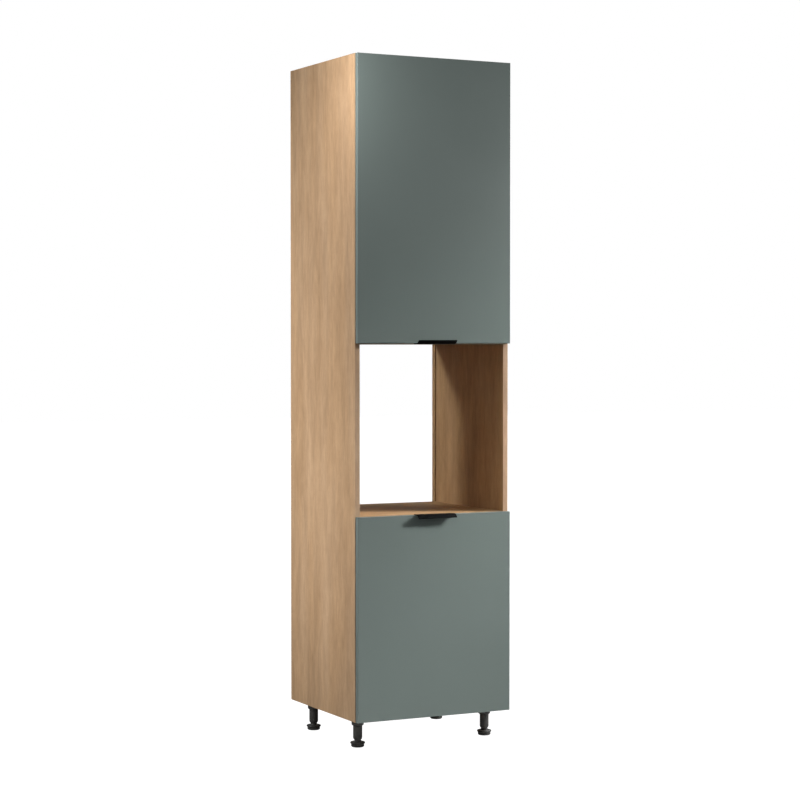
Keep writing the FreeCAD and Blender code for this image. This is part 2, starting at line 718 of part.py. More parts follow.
def make_handle(label, at_top, door_back, level):
    """An edge handle: a tab behind the door, a plate over its end and a sloping nose in front."""
    nose = S.door_thickness + S.handle_reach
    bevel = SLOPE_SHARE * S.handle_sheet
    slope = S.handle_lip - bevel
    outer_corner = nose - slope
    inner_corner = nose - bevel - S.handle_lip + S.handle_sheet
    body = new_body(label)
    profile = [
        (0, S.handle_sheet),
        (-outer_corner, S.handle_sheet),
        (-nose, S.handle_sheet - slope),
        (bevel - nose, S.handle_sheet - S.handle_lip),
        (-inner_corner, 0),
        (-S.tab_sheet, 0),
        (-S.tab_sheet, -S.tab_height),
        (0, -S.tab_height),
    ]
    base = pad(body, draw_outline(sketch_on(body, "YZ_Plane"), profile), S.handle_length, symmetric=True)

    def is_near(y, z):
        return lambda point: math.hypot(point.y - sized(y).value, point.z - sized(z).value) < 0.01

    outer = round_edges(body, base, S.handle_bend, is_near(-outer_corner, S.handle_sheet))
    inner_bend = S.handle_bend - S.handle_sheet
    inner = round_edges(body, outer, inner_bend, is_near(-inner_corner, 0))
    round_edges(body, inner, S.tab_sheet, is_near(0, S.handle_sheet))
    screw_holes = draw_circles(
        sketch_on(body, "XZ_Plane"),
        [(side * S.handle_screw_span / 2, -S.handle_screw_drop) for side in (-1, 1)],
        S.handle_screw_radius + S.head_play,
    )
    pocket(body, screw_holes, 4 * S.tab_sheet, symmetric=True)
    put(body, 0, door_back, level, turn=None if at_top else UPSIDE_DOWN)
    node(body, label)


def make_hinge_cup():
    """A cup let into the door, with a flange on the door's back and a bore for its pivot."""
    body = new_body("hinge_cup")
    middle = [(-CUP_MIDDLE, 0)]
    face = S.door_gap
    flange_top = S.door_gap - S.flange_sheet
    pad(body, draw_circles(sketch_on(body, "XZ_Plane", face), middle, S.cup_radius), S.cup_depth)
    rim = draw_circles(sketch_on(body, "XZ_Plane", face), middle, S.cup_radius + S.cup_wall)
    pad(body, rim, S.flange_sheet, reverse=True)
    ears = draw_rectangle(
        sketch_on(body, "XZ_Plane", face),
        -CUP_MIDDLE - S.flange_inner,
        -S.flange_half_height,
        -CUP_MIDDLE - S.flange_outer,
        S.flange_half_height,
    )
    pad(body, ears, S.flange_sheet, reverse=True)
    hollow = draw_circles(sketch_on(body, "XZ_Plane", flange_top), middle, S.cup_radius - S.cup_wall)
    pocket(body, hollow, S.cup_depth + S.flange_sheet - S.cup_wall, reverse=True)
    notch = draw_rectangle(
        sketch_on(body, "XZ_Plane", flange_top), -S.flange_notch, -S.link_width, 0, S.link_width
    )
    pocket(body, notch, S.flange_sheet, reverse=True)
    holes = [(-CUP_MIDDLE - S.cup_screw_offset, side * S.cup_screw_span / 2) for side in (-1, 1)]
    sketch = draw_circles(sketch_on(body, "XZ_Plane", flange_top), holes, S.cup_screw_radius + S.head_play)
    pocket(body, sketch, S.flange_sheet, reverse=True)
    cup_floor = S.door_gap + S.cup_depth - S.cup_wall
    lugs = sketch_on(body, "XZ_Plane", cup_floor)
    lug_low = S.link_neck_width / 2 + S.lug_play
    for low, high in ((-S.lug_half_height, -lug_low), (lug_low, S.lug_half_height)):
        draw_rectangle(lugs, -S.cup_pivot_in - S.lug_inner, low, -S.cup_pivot_in + S.lug_outer, high)
    pad(body, lugs, cup_floor - S.cup_pivot_out + S.lug_above, reverse=True)
    pivot = [(-S.cup_pivot_in, -S.cup_pivot_out)]
    sketch = draw_circles(sketch_on(body, "XY_Plane"), pivot, S.pivot_radius)
    pocket(body, sketch, S.cup_pin_length, symmetric=True)
    return body


def make_hinge_link():
    """A bent link with an eye at the cup's pivot and one at the arm's pivot."""
    cup_eye = (-S.cup_pivot_in, -S.cup_pivot_out)
    bend = (-S.link_bend_in, -S.link_bend_out)
    arm_eye = (-S.arm_pivot_in, S.arm_pivot_back)
    eyes = [
        (cup_eye, S.link_eye_radius, S.link_neck_width),
        (bend, S.link_sheet / 2, S.link_width),
        (arm_eye, S.link_eye_radius, S.link_width),
    ]
    bars = [(cup_eye, bend, S.link_neck_width), (bend, arm_eye, S.link_width)]
    pieces = []
    for (x, y), radius, width in eyes:
        eye = doc.addObject("Part::Cylinder", "link_eye")
        bind(eye, "Radius", radius)
        bind(eye, "Height", width)
        pieces.append(put(eye, x, y, -width / 2))
    for (x, y), (end_x, end_y), width in bars:
        angle = heading(end_x - x, end_y - y)
        bar = doc.addObject("Part::Box", "link_bar")
        bind(bar, "Length", distance(end_x - x, end_y - y))
        bind(bar, "Width", S.link_sheet)
        bind(bar, "Height", width)
        half = S.link_sheet / 2
        put(bar, x + half * sine(angle), y - half * cosine(angle), -width / 2)
        bind(bar, "Placement.Rotation.Angle", angle)
        pieces.append(bar)
    whole = doc.addObject("Part::MultiFuse", "link_blank")
    whole.Shapes = pieces
    bores = []
    for x, y in (cup_eye, arm_eye):
        bore = doc.addObject("Part::Cylinder", "link_bore")
        bind(bore, "Radius", S.pivot_radius + S.fit)
        bind(bore, "Height", 2 * S.link_width)
        bores.append(put(bore, x, y, -S.link_width))
    holes = doc.addObject("Part::MultiFuse", "link_bores")
    holes.Shapes = bores
    link = doc.addObject("Part::Cut", "hinge_link")
    link.Base = whole
    link.Tool = holes
    doc.recompute()
    return link


def make_hinge_arm():
    """A folded channel over the mounting plate, with two ears that hold the link's pivot."""
    body = new_body("hinge_arm")
    side = [
        (-S.arm_top, S.arm_front),
        (-S.arm_top, S.arm_end),
        (-S.arm_low, S.arm_end),
        (-S.arm_low, S.arm_knee),
        (-S.arm_nose_low, S.arm_front),
    ]
    pad(body, draw_outline(sketch_on(body, "XY_Plane"), side), S.arm_width, symmetric=True)
    inside = draw_rectangle(sketch_on(body, "XY_Plane"), S.arm_sheet - S.arm_top, 0, 0, 2 * S.arm_end)
    pocket(body, inside, S.arm_width - 2 * S.arm_sheet, symmetric=True)
    pivot = draw_circles(
        sketch_on(body, "XY_Plane"), [(-S.arm_pivot_in, S.arm_pivot_back)], S.pivot_radius
    )
    pocket(body, pivot, 2 * S.arm_width, symmetric=True)
    hole = draw_circles(
        sketch_on(body, "YZ_Plane", -S.arm_top),
        [(S.arm_screw_setback, 0)],
        S.arm_screw_radius + S.head_play,
    )
    pocket(body, hole, S.arm_sheet, reverse=True)
    return body


def make_hinge_plate():
    """A mounting plate on the side panel: two screwed wings and the block that the arm sits on."""
    body = new_body("hinge_plate")
    wing_half = S.plate_wing_height / 2
    wings = draw_rectangle(
        sketch_on(body, "YZ_Plane", -S.board),
        S.plate_setback - S.plate_wing_depth / 2,
        -wing_half,
        S.plate_setback + S.plate_wing_depth / 2,
        wing_half,
    )
    pad(body, wings, S.plate_sheet, reverse=True)
    block_half = S.arm_width / 2 - S.arm_sheet - S.block_play
    block_top = S.arm_top - S.arm_sheet
    core = draw_rectangle(
        sketch_on(body, "YZ_Plane", -S.board), S.block_front, -block_half, S.block_end, block_half
    )
    pad(body, core, block_top - S.board, reverse=True)
    holes = [(S.plate_setback, side * S.plate_screw_span / 2) for side in (-1, 1)]
    sketch = draw_circles(sketch_on(body, "YZ_Plane", -S.board), holes, S.plate_screw_radius + S.head_play)
    pocket(body, sketch, S.plate_sheet)
    sketch = draw_circles(
        sketch_on(body, "YZ_Plane", -block_top),
        [(S.arm_screw_setback, 0)],
        S.arm_screw_radius + S.fit,
    )
    pocket(body, sketch, S.arm_screw_length, reverse=True)
    return body


def make_hinge_pin(name, length):
    pin = doc.addObject("Part::Cylinder", name)
    bind(pin, "Radius", S.pivot_radius)
    bind(pin, "Height", length)
    return pin


def place_hinges(name):
    """Copies every hinge piece to the levels of one door."""
    levels = [S.leg_height + level for level in HINGE_LEVELS[name]]
    spots = [(SIDE, FRONT, level) for level in levels]
    for piece in ("cup", "link", "arm", "plate"):
        group(f"{name}_hinge_{piece}s", hinge[piece], spots)
    cup_pins = [
        (SIDE - S.cup_pivot_in, FRONT - S.cup_pivot_out, level - S.cup_pin_length / 2) for level in levels
    ]
    group(name + "_cup_pins", hinge["cup_pin"], cup_pins)
    arm_pins = [
        (SIDE - S.arm_pivot_in, FRONT + S.arm_pivot_back, level - S.arm_width / 2) for level in levels
    ]
    group(name + "_arm_pins", hinge["arm_pin"], arm_pins)
    sides = [(level, side) for level in levels for side in (-1, 1)]
    flange_top = FRONT - S.door_gap + S.flange_sheet
    cup_screw_x = SIDE - CUP_MIDDLE - S.cup_screw_offset
    places = [(cup_screw_x, flange_top, level + side * S.cup_screw_span / 2) for level, side in sides]
    group(name + "_cup_screws", screws["cup"], places, turn=TO_BACK)
    wing_top = INNER - S.plate_sheet
    setback = FRONT + S.plate_setback
    places = [(wing_top, setback, level + side * S.plate_screw_span / 2) for level, side in sides]
    group(name + "_plate_screws", screws["plate"], places, turn=TO_LEFT)
    places = [(SIDE - S.arm_top, FRONT + S.arm_screw_setback, level) for level in levels]
    group(name + "_arm_screws", screws["arm"], places, turn=TO_LEFT)


def make_leg(row_name, side_name, x, y):
    """One leg: a socket pegged into the bottom panel, a column and a threaded foot."""
    name = f"{row_name}_{side_name}"
    bore = S.column_radius + S.fit
    socket = turned(
        name + "_leg_socket",
        [
            (0, S.peg_length),
            (S.peg_radius, S.peg_length),
            (S.peg_radius, 0),
            (S.socket_radius, 0),
            (S.socket_radius, S.socket_taper - S.socket_drop),
            (bore + S.socket_lip, -S.socket_drop),
            (bore, -S.socket_drop),
            (bore, -S.socket_floor),
            (0, -S.socket_floor),
        ],
    )
    stem_bore = S.stem_radius + S.stem_play
    column_low = S.leg_height - S.column_rise
    column = turned(
        name + "_leg_column",
        [
            (0, -S.socket_floor),
            (S.column_radius, -S.socket_floor),
            (S.column_radius, S.column_taper - column_low),
            (stem_bore + S.column_lip, -column_low),
            (stem_bore, -column_low),
            (stem_bore, -S.socket_floor - S.column_roof),
            (0, -S.socket_floor - S.column_roof),
        ],
    )
    rim_top = S.leg_height - S.disc_rise
    rim_low = rim_top + S.disc_edge
    foot = turned(
        name + "_foot",
        [
            (0, -S.stem_drop),
            (S.stem_radius, -S.stem_drop),
            (S.stem_radius, -rim_top + S.stem_flare),
            (S.stem_radius + S.stem_flare, -rim_top),
            (S.disc_radius - S.stem_flare, -rim_top),
            (S.disc_radius, -rim_top - S.stem_flare),
            (S.disc_radius, -rim_low),
            (S.pad_radius, -rim_low - S.disc_slope),
            (S.pad_radius, S.pad_round - S.leg_height),
            (S.pad_radius - S.pad_round, -S.leg_height),
            (0, -S.leg_height),
        ],
    )
    for body in (socket, column, foot):
        node(put(body, x, y, S.leg_height), body.Name)


make_side_panel("left_side_panel", on_right=False)
make_side_panel("right_side_panel", on_right=True)
for panel_name, panel_level in FIXED_PANELS.items():
    make_fixed_panel(panel_name, panel_level)
make_loose_shelves()
make_edge_bands()
make_back_panels()
make_panel_joints()

screws = {
    kind: screw_head_up(
        kind + "_screw",
        getattr(S, kind + "_screw_head"),
        getattr(S, kind + "_screw_head_height"),
        getattr(S, kind + "_screw_radius"),
        getattr(S, kind + "_screw_length"),
    )
    for kind in ("cup", "plate", "arm", "handle")
}
bumper = doc.addObject("Part::Cylinder", "bumper")
bind(bumper, "Radius", S.bumper_radius)
bind(bumper, "Height", S.door_gap - S.bumper_play)
hinge = {
    "cup": make_hinge_cup(),
    "link": make_hinge_link(),
    "arm": make_hinge_arm(),
    "plate": make_hinge_plate(),
    "cup_pin": make_hinge_pin("cup_pin", S.cup_pin_length),
    "arm_pin": make_hinge_pin("arm_pin", S.arm_width),
}
for door_name in DOORS:
    make_door(door_name)
    place_hinges(door_name)
for leg_row, leg_y in LEG_ROWS.items():
    for leg_side, leg_sign in (("left", -1), ("right", 1)):
        make_leg(leg_row, leg_side, leg_sign * (SIDE - S.leg_side_inset), FRONT + leg_y)

doc.recompute()
for item in doc.Objects:
    if "Invalid" in item.State or "Error" in item.State:
        raise RuntimeError(f"{item.Name} could not be made: {item.State}")
for item in nodes:
    if item.Shape.isNull() or not item.Shape.isValid():
        raise RuntimeError(f"{item.Label} has no valid shape")

os.makedirs("parts", exist_ok=True)
for item in nodes:
    item.Shape.exportStep(f"parts/{item.Label}.step")
print(len(nodes), "sub-parts written")
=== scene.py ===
import json
import math
from collections import namedtuple

import bmesh
import bpy
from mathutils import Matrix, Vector


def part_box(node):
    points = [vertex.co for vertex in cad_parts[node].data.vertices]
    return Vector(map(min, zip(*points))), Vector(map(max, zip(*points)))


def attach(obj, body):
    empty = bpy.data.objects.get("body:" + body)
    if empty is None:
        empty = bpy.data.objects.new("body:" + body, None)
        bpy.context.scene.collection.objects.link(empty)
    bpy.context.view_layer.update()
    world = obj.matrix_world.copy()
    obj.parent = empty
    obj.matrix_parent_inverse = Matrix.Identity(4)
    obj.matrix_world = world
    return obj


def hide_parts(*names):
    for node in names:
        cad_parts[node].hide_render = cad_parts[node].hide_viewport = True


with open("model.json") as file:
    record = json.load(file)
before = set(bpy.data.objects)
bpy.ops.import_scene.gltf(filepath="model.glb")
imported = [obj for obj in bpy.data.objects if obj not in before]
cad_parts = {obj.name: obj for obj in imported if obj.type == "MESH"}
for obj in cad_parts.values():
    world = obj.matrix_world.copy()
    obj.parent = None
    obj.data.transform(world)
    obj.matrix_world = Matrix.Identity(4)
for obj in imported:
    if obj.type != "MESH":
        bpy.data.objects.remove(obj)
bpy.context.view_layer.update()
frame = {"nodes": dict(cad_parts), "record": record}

bl_info = {
    "name": "Tall Kitchen Cabinet",
    "version": (1, 0, 0),
    "blender": (4, 5, 0),
    "location": "View3D > Sidebar > Cabinet",
    "description": "Dresses the CAD frame of a tall kitchen cabinet with an oven niche",
    "category": "Object",
}

NODES = frame["nodes"]
BODY_OF = {
    node: body
    for body, members in frame["record"]["behaviour"]["bodies"].items()
    for node in members
}
DOORS = ("upper", "lower")
LEGS = ("front_left", "front_right", "rear_left", "rear_right")
HEAD_TO_BACK = (math.radians(-90), 0.0, 0.0)
HEAD_TO_LEFT = (0.0, math.radians(-90), 0.0)
GRAIN_ALONG_Z = (0.0, 0.0, 0.0)
GRAIN_ALONG_X = (0.0, math.radians(90), 0.0)

# Shares of red, green and blue by which the oak of a board or band departs from the plain decor.
PLAIN_TINT = (1.0, 1.0, 1.0)
# The warm tint is painted bounce light: it stands in for the oak-coloured light thrown round inside the
# niche.
PAINTED_BOUNCE_TINT = (1.02, 0.97, 0.84)
# The band tints are painted shade: they darken and grey the edge bands along the boards' front edges.
UPRIGHT_BAND_SHADE = (0.93, 0.95, 1.0)
LYING_BAND_SHADE = (0.92, 0.98, 1.14)

# How a metal's fine grain is drawn out along each axis.
DRAWN_LINES = (1.0, 1.0, 0.04)
EVEN_GRAIN = (1.0, 1.0, 1.0)

# Edges sharper than these angles, in degrees, stay crisp in the smooth shading.
SHEET_CREASE = 40.0
SCREW_CREASE = 35.0
MOULDING_CREASE = 50.0

# Points closer than this, in metres, count as one.
WELD = 1e-6

# Largest share of a profile's side that one rounded corner takes.
ROUND_SHARE = 0.45

# Slope of the handle's nose in degrees, and the steps of the bend into it.
NOSE_SLOPE = 45.0
BEND_STEPS = 10

# Width of the camera's sensor in millimetres.
SENSOR_WIDTH = 36.0

# Radius and height of the head, radius and length of the shank, and the turn that points the head.
Screw = namedtuple("Screw", "head height shank length turn")
SCREWS = {
    "cup": Screw(head=0.0032, height=0.0011, shank=0.0016, length=0.013, turn=HEAD_TO_BACK),
    "plate": Screw(head=0.004, height=0.0016, shank=0.0025, length=0.013, turn=HEAD_TO_LEFT),
    "arm": Screw(head=0.004, height=0.002, shank=0.002, length=0.010, turn=HEAD_TO_LEFT),
    "handle": Screw(head=0.0034, height=0.0014, shank=0.00175, length=0.013, turn=HEAD_TO_BACK),
}

# A bumper's dome from its top to its seat, in shares of its radius and height.
DOME = (
    (0.0, 1.0),
    (0.35, 0.97),
    (0.72, 0.78),
    (0.93, 0.42),
    (1.0, 0.08),
    (0.96, 0.0),
    (0.0, 0.0),
)

# Where each light stands, what it points at and how wide its square is, in metres.
Lamp = namedtuple("Lamp", "place target size")
LAMPS = {
    "key": Lamp(place=(5.07, -2.2, 3.36), target=(0.0, -0.27, 0.5), size=0.45),
    "near": Lamp(place=(1.58, -1.04, 2.07), target=(0.0, -0.27, 0.75), size=0.2),
    "corner": Lamp(place=(-0.75, -0.5, 2.35), target=(-0.3, -0.2, 2.2), size=0.25),
    "side": Lamp(place=(-1.4, 0.1, 0.75), target=(-0.3, 0.0, 0.85), size=0.4),
    "rear": Lamp(place=(-2.25, 1.05, 2.4), target=(0.2, 0.15, 1.05), size=0.4),
}


def colour_property(name, description, default):
    return bpy.props.FloatVectorProperty(
        name=name, description=description, default=default, subtype="COLOR", size=3, min=0.0, max=1.0
    )


def length_property(name, description, default):
    return bpy.props.FloatProperty(
        name=name, description=description, default=default, subtype="DISTANCE", unit="LENGTH", min=0.0
    )


def place_property(name, description, default):
    return bpy.props.FloatVectorProperty(
        name=name, description=description, default=default, subtype="TRANSLATION", unit="LENGTH", size=3
    )


def power_property(name, description, default):
    return bpy.props.FloatProperty(
        name=name, description=description, default=default, subtype="POWER", unit="POWER", min=0.0
    )


def angle_property(name, description, degrees):
    return bpy.props.FloatProperty(
        name=name, description=description, default=math.radians(degrees), subtype="ANGLE", unit="ROTATION"
    )


def strength_property(name, description, default):
    return bpy.props.FloatProperty(name=name, description=description, default=default, min=0.0)


class CabinetFinish(bpy.types.PropertyGroup):
    """Colours of the cabinet's finishes."""

    oak_light: colour_property("Oak light", "Light tone of the oak decor", (0.582, 0.386, 0.227))
    oak_dark: colour_property("Oak dark", "Dark tone of the oak decor", (0.293, 0.177, 0.0917))
    oak_pore: colour_property("Oak pore", "Tone of the pores in the oak decor", (0.2668, 0.1547, 0.0773))
    chip_light: colour_property("Chip light", "Light chips in the board's core", (0.32, 0.215, 0.12))
    chip_dark: colour_property("Chip dark", "Dark chips in the board's core", (0.15, 0.09, 0.045))
    fibre_brown: colour_property("Fibre brown", "Bare rear of the back panels", (0.235, 0.135, 0.07))
    front_green: colour_property("Front green", "Grey-green lacquer of the doors", (0.1424, 0.175, 0.163))
    coat_black: colour_property("Coat black", "Powder coat of the handles", (0.0052, 0.0055, 0.0056))
    mould_black: colour_property("Mould black", "Moulded plastic of the legs", (0.033, 0.033, 0.031))
    nickel: colour_property("Nickel", "Plating of the hinges", (0.66, 0.64, 0.60))
    zinc: colour_property("Zinc", "Cast fittings in the boards", (0.52, 0.53, 0.54))
    screw_steel: colour_property("Screw steel", "Plated screws, bolts and shelf pins", (0.63, 0.63, 0.62))
    beech: colour_property("Beech", "Dowels", (0.60, 0.41, 0.25))


class CabinetDetail(bpy.types.PropertyGroup):
    """Sizes of the handles and legs, with details that the CAD frame leaves plain."""

    handle_sheet: length_property("Handle sheet", "Thickness of the handle's grip", 0.0022)
    handle_tab: length_property("Handle tab", "Thickness of the handle's tab", 0.0015)
    handle_lip: length_property("Handle lip", "Height of the handle's sloping nose", 0.014)
    handle_bend: length_property("Handle bend", "Outer radius between the handle's plate and nose", 0.018)
    handle_edge: length_property("Handle edge", "Rounding of the handle's cut edges", 0.0004)
    leg_edge: length_property("Leg edge", "Rounding of the corners on the legs", 0.0012)
    leg_wall: length_property("Leg wall", "Wall of the sockets and columns at their lower ends", 0.0016)
    peg_radius: length_property("Peg radius", "Radius of the leg's peg in the bottom panel", 0.005)
    socket_drop: length_property("Socket drop", "Height of the leg sockets", 0.025)
    socket_bead: length_property("Socket bead", "Height of the bead round a socket's top", 0.004)
    socket_taper: length_property("Socket taper", "Height of a socket's tapered end", 0.003)
    socket_floor: length_property("Socket floor", "Solid top of a leg socket", 0.006)
    column_taper: length_property("Column taper", "Height of a column's tapered end", 0.006)
    column_roof: length_property("Column roof", "Solid top of a leg column", 0.008)
    stem_radius: length_property("Stem radius", "Radius of a foot's stem over its thread", 0.0124)
    stem_play: length_property("Stem play", "Foot stem to the column's bore", 0.0003)
    rim_level: length_property("Rim level", "Top of a foot's rim above the floor", 0.018)
    rim_edge: length_property("Rim edge", "Thickness of a foot's rim at its edge", 0.004)
    rim_slope: length_property("Rim slope", "Height of the slope under a foot's rim", 0.004)
    rim_round: length_property("Rim round", "Bevel of a foot's rim and of its stem", 0.002)
    pad_radius: length_property("Pad radius", "Radius of a foot's pad", 0.0224)
    pad_round: length_property("Pad round", "Bevel of a foot's pad at the floor", 0.003)
    thread_pitch: length_property("Thread pitch", "Rise of the foot's thread in one turn", 0.003)
    thread_ridge: length_property("Thread ridge", "Radius of the thread's ridge", 0.0005)
    rib_radius: length_property("Rib radius", "Radius of the upright ribs on the foot's pad", 0.0011)
    rib_count: bpy.props.IntProperty(
        name="Rib count", description="Upright ribs round the foot's pad", default=30, min=3
    )


class CabinetStage(bpy.types.PropertyGroup):
    """Camera, lights and floor."""

    camera_place: place_property("Camera place", "Where the camera stands", (-3.40873, -6.73261, 1.39525))
    camera_yaw: angle_property("Camera yaw", "Turn of the camera to the right", 26.8416)
    camera_pitch: angle_property("Camera pitch", "Tilt of the camera downwards", 1.4911)
    camera_lens: bpy.props.FloatProperty(
        name="Camera lens",
        description="Focal length",
        default=94.7016,
        subtype="DISTANCE_CAMERA",
        unit="CAMERA",
    )
    floor_colour: colour_property("Floor colour", "Pale studio floor", (0.92, 0.92, 0.915))
    floor_glow: strength_property("Floor glow", "How brightly the floor shows to the camera", 1.35)
    floor_bounce: bpy.props.FloatProperty(
        name="Floor bounce",
        description="Share of the floor's colour that reflects light",
        default=0.45,
        min=0.0,
        max=1.0,
        subtype="FACTOR",
    )
    fill_strength: strength_property("Fill strength", "Even light from all round", 0.21)
    key_power: power_property("Key power", "Far narrow light on the right that casts the shadows", 14.3)
    key_spread: angle_property("Key spread", "Angle of the key light's beam", 25)
    near_power: power_property("Near power", "Small near light on the right", 23.2)
    corner_power: power_property("Corner power", "Small light by the upper left corner", 6.3)
    side_power: power_property("Side power", "Soft box beside the left side panel", 8.6)
    rear_power: power_property("Rear power", "Light from behind on the left, into the niche", 4.0)
    rear_spread: angle_property("Rear spread", "Angle of the rear light's beam", 60)


class Nodes:
    """Adds nodes to one tree: a socket given as a value is linked, and anything else is set."""

    def __init__(self, tree):
        self.tree = tree

    def add(self, kind, inputs=None, **settings):
        node = self.tree.nodes.new(kind)
        for name, value in settings.items():
            setattr(node, name, value)
        for key, value in (inputs or {}).items():
            if isinstance(value, bpy.types.NodeSocket):
                self.tree.links.new(value, node.inputs[key])
            else:
                node.inputs[key].default_value = value
        return node

    def group(self, name, inputs):
        tree = bpy.data.node_groups[name]
        return self.add("ShaderNodeGroup", inputs, node_tree=tree).outputs

    def math(self, operation, *values):
        return self.add("ShaderNodeMath", dict(enumerate(values)), operation=operation).outputs[0]

    def blend(self, factor, first, second, mode="MIX"):
        # The node's colour sockets follow those for numbers and vectors.
        inputs = {0: factor, 6: first, 7: second}
        return self.add("ShaderNodeMix", inputs, data_type="RGBA", blend_type=mode).outputs[2]

    def span(self, value, low, high, to_low=0.0, to_high=1.0):
        inputs = {"Value": value, "From Min": low, "From Max": high, "To Min": to_low, "To Max": to_high}
        return self.add("ShaderNodeMapRange", inputs).outputs[0]

    def stretch(self, place, scale):
        return self.add("ShaderNodeMapping", {"Vector": place, "Scale": scale}).outputs[0]

    def noise(self, place, scale, detail=2.0, roughness=0.5, warp=0.0):
        inputs = {"Vector": place, "Scale": scale, "Detail": detail}
        inputs |= {"Roughness": roughness, "Distortion": warp}
        return self.add("ShaderNodeTexNoise", inputs).outputs["Fac"]

    def grain(self, place, scale, along, **settings):
        # Noise drawn out along Z: the smaller the share along, the longer the streaks.
        return self.noise(self.stretch(place, (1.0, 1.0, along)), scale, **settings)

    def bump(self, height, strength, distance):
        inputs = {"Height": height, "Strength": strength, "Distance": distance}
        return self.add("ShaderNodeBump", inputs).outputs[0]


def new_group(name, inputs, outputs):
    """An empty shader node group with its named sockets; gives its nodes, inputs and outputs."""
    tree = bpy.data.node_groups.new(name, "ShaderNodeTree")
    for label, kind, default in inputs:
        socket = tree.interface.new_socket(label, in_out="INPUT", socket_type="NodeSocket" + kind)
        if default is not None:
            socket.default_value = default
    for label, kind in outputs:
        tree.interface.new_socket(label, in_out="OUTPUT", socket_type="NodeSocket" + kind)
    nodes = Nodes(tree)
    return nodes, nodes.add("NodeGroupInput").outputs, nodes.add("NodeGroupOutput").inputs


def make_oak_figure_group():
    """Oak decor whose grain runs along Z: broad tones, soft flecks and fine pores."""
    nodes, given, result = new_group(
        "oak_figure",
        [
            ("Place", "Vector", None),
            ("Light", "Color", (0.6, 0.4, 0.25, 1.0)),
            ("Dark", "Color", (0.4, 0.28, 0.17, 1.0)),
            ("Pore", "Color", (0.3, 0.19, 0.1, 1.0)),
        ],
        [("Colour", "Color"), ("Tone", "Float"), ("Height", "Float")],
    )
    link = nodes.tree.links.new
    place = given["Place"]
    broad = nodes.grain(place, scale=9.0, along=0.14)
    drift = nodes.grain(place, scale=34.0, along=0.15, detail=3.0, warp=0.5)
    fleck = nodes.grain(place, scale=120.0, along=0.17, detail=3.0, roughness=0.6)
    fine = nodes.grain(place, scale=520.0, along=0.05)
    tone = nodes.math("MULTIPLY", nodes.span(broad, 0.3, 0.7), 0.28)
    tone = nodes.math("MULTIPLY_ADD", nodes.span(drift, 0.32, 0.68), 0.30, tone)
    tone = nodes.math("MULTIPLY_ADD", nodes.span(fleck, 0.3, 0.7), 0.30, tone)
    tone = nodes.math("MULTIPLY_ADD", fine, 0.12, tone)
    blush = nodes.grain(place, scale=15.0, along=0.12)
    pore = nodes.grain(place, scale=1300.0, along=0.045, detail=1.0)
    pore = nodes.math("MULTIPLY", nodes.span(pore, 0.60, 0.72), nodes.span(fleck, 0.42, 0.62, 0.15, 0.7))
    colour = nodes.blend(tone, given["Dark"], given["Light"])
    cool = (0.99, 1.005, 1.035, 1.0)
    warm = (1.01, 0.995, 0.965, 1.0)
    tint = nodes.blend(nodes.span(blush, 0.35, 0.65), cool, warm)
    colour = nodes.blend(1.0, colour, tint, mode="MULTIPLY")
    link(nodes.blend(pore, colour, given["Pore"]), result["Colour"])
    link(tone, result["Tone"])
    link(nodes.math("SUBTRACT", nodes.math("MULTIPLY", tone, 0.4), pore), result["Height"])


def make_chip_core_group():
    """The open core of a chipboard: pressed chips in mixed browns."""
    nodes, given, result = new_group(
        "chip_core",
        [
            ("Place", "Vector", None),
            ("Light", "Color", (0.5, 0.36, 0.22, 1.0)),
            ("Dark", "Color", (0.27, 0.16, 0.08, 1.0)),
        ],
        [("Colour", "Color"), ("Height", "Float")],
    )
    chips = nodes.add(
        "ShaderNodeTexVoronoi", {"Vector": nodes.stretch(given["Place"], (1.0, 0.6, 0.8)), "Scale": 520.0}
    ).outputs
    tint = nodes.add("ShaderNodeSeparateColor", {"Color": chips["Color"]}).outputs["Red"]
    dust = nodes.noise(given["Place"], 900.0, detail=3.0)
    tone = nodes.math("MULTIPLY_ADD", dust, 0.4, nodes.math("MULTIPLY", tint, 0.6))
    nodes.tree.links.new(nodes.blend(tone, given["Dark"], given["Light"]), result["Colour"])
    nodes.tree.links.new(nodes.math("SUBTRACT", dust, chips["Distance"]), result["Height"])


def make_broad_face_group():
    """1 on the two broad faces of a board, and 0 on its edges and in its holes."""
    nodes, given, result = new_group(
        "broad_face",
        [("Normal", "Vector", None), ("Across", "Vector", (0.0, 0.0, 1.0))],
        [("Face", "Float")],
    )
    pair = {0: given["Normal"], 1: given["Across"]}
    facing = nodes.add("ShaderNodeVectorMath", pair, operation="DOT_PRODUCT")
    lean = nodes.math("ABSOLUTE", facing.outputs["Value"])
    nodes.tree.links.new(nodes.math("GREATER_THAN", lean, 0.7), result["Face"])


def make_mottle_group():
    """Uneven sheen of a handled surface: cloudy patches with fine grit."""
    nodes, given, result = new_group(
        "mottle",
        [
            ("Place", "Vector", None),
            ("Patch Scale", "Float", 14.0),
            ("Grit Scale", "Float", 1200.0),
            ("Low", "Float", 0.4),
            ("High", "Float", 0.5),
        ],
        [("Value", "Float"), ("Patch", "Float"), ("Grit", "Float")],
    )
    link = nodes.tree.links.new
    patch = nodes.noise(given["Place"], given["Patch Scale"], detail=3.0)
    grit = nodes.noise(given["Place"], given["Grit Scale"], detail=2.0)
    mixed = nodes.math("MULTIPLY", nodes.span(patch, 0.3, 0.7), 0.65)
    mixed = nodes.math("MULTIPLY_ADD", grit, 0.35, mixed)
    link(nodes.span(mixed, 0.0, 1.0, given["Low"], given["High"]), result["Value"])
    link(patch, result["Patch"])
    link(grit, result["Grit"])


def make_shared_groups():
    """The shader node groups that several materials use."""
    make_oak_figure_group()
    make_chip_core_group()
    make_broad_face_group()
    make_mottle_group()


def opaque(colour, share=1.0):
    """A colour or a share of it, as a socket takes it."""
    return (*[share * part for part in colour], 1.0)


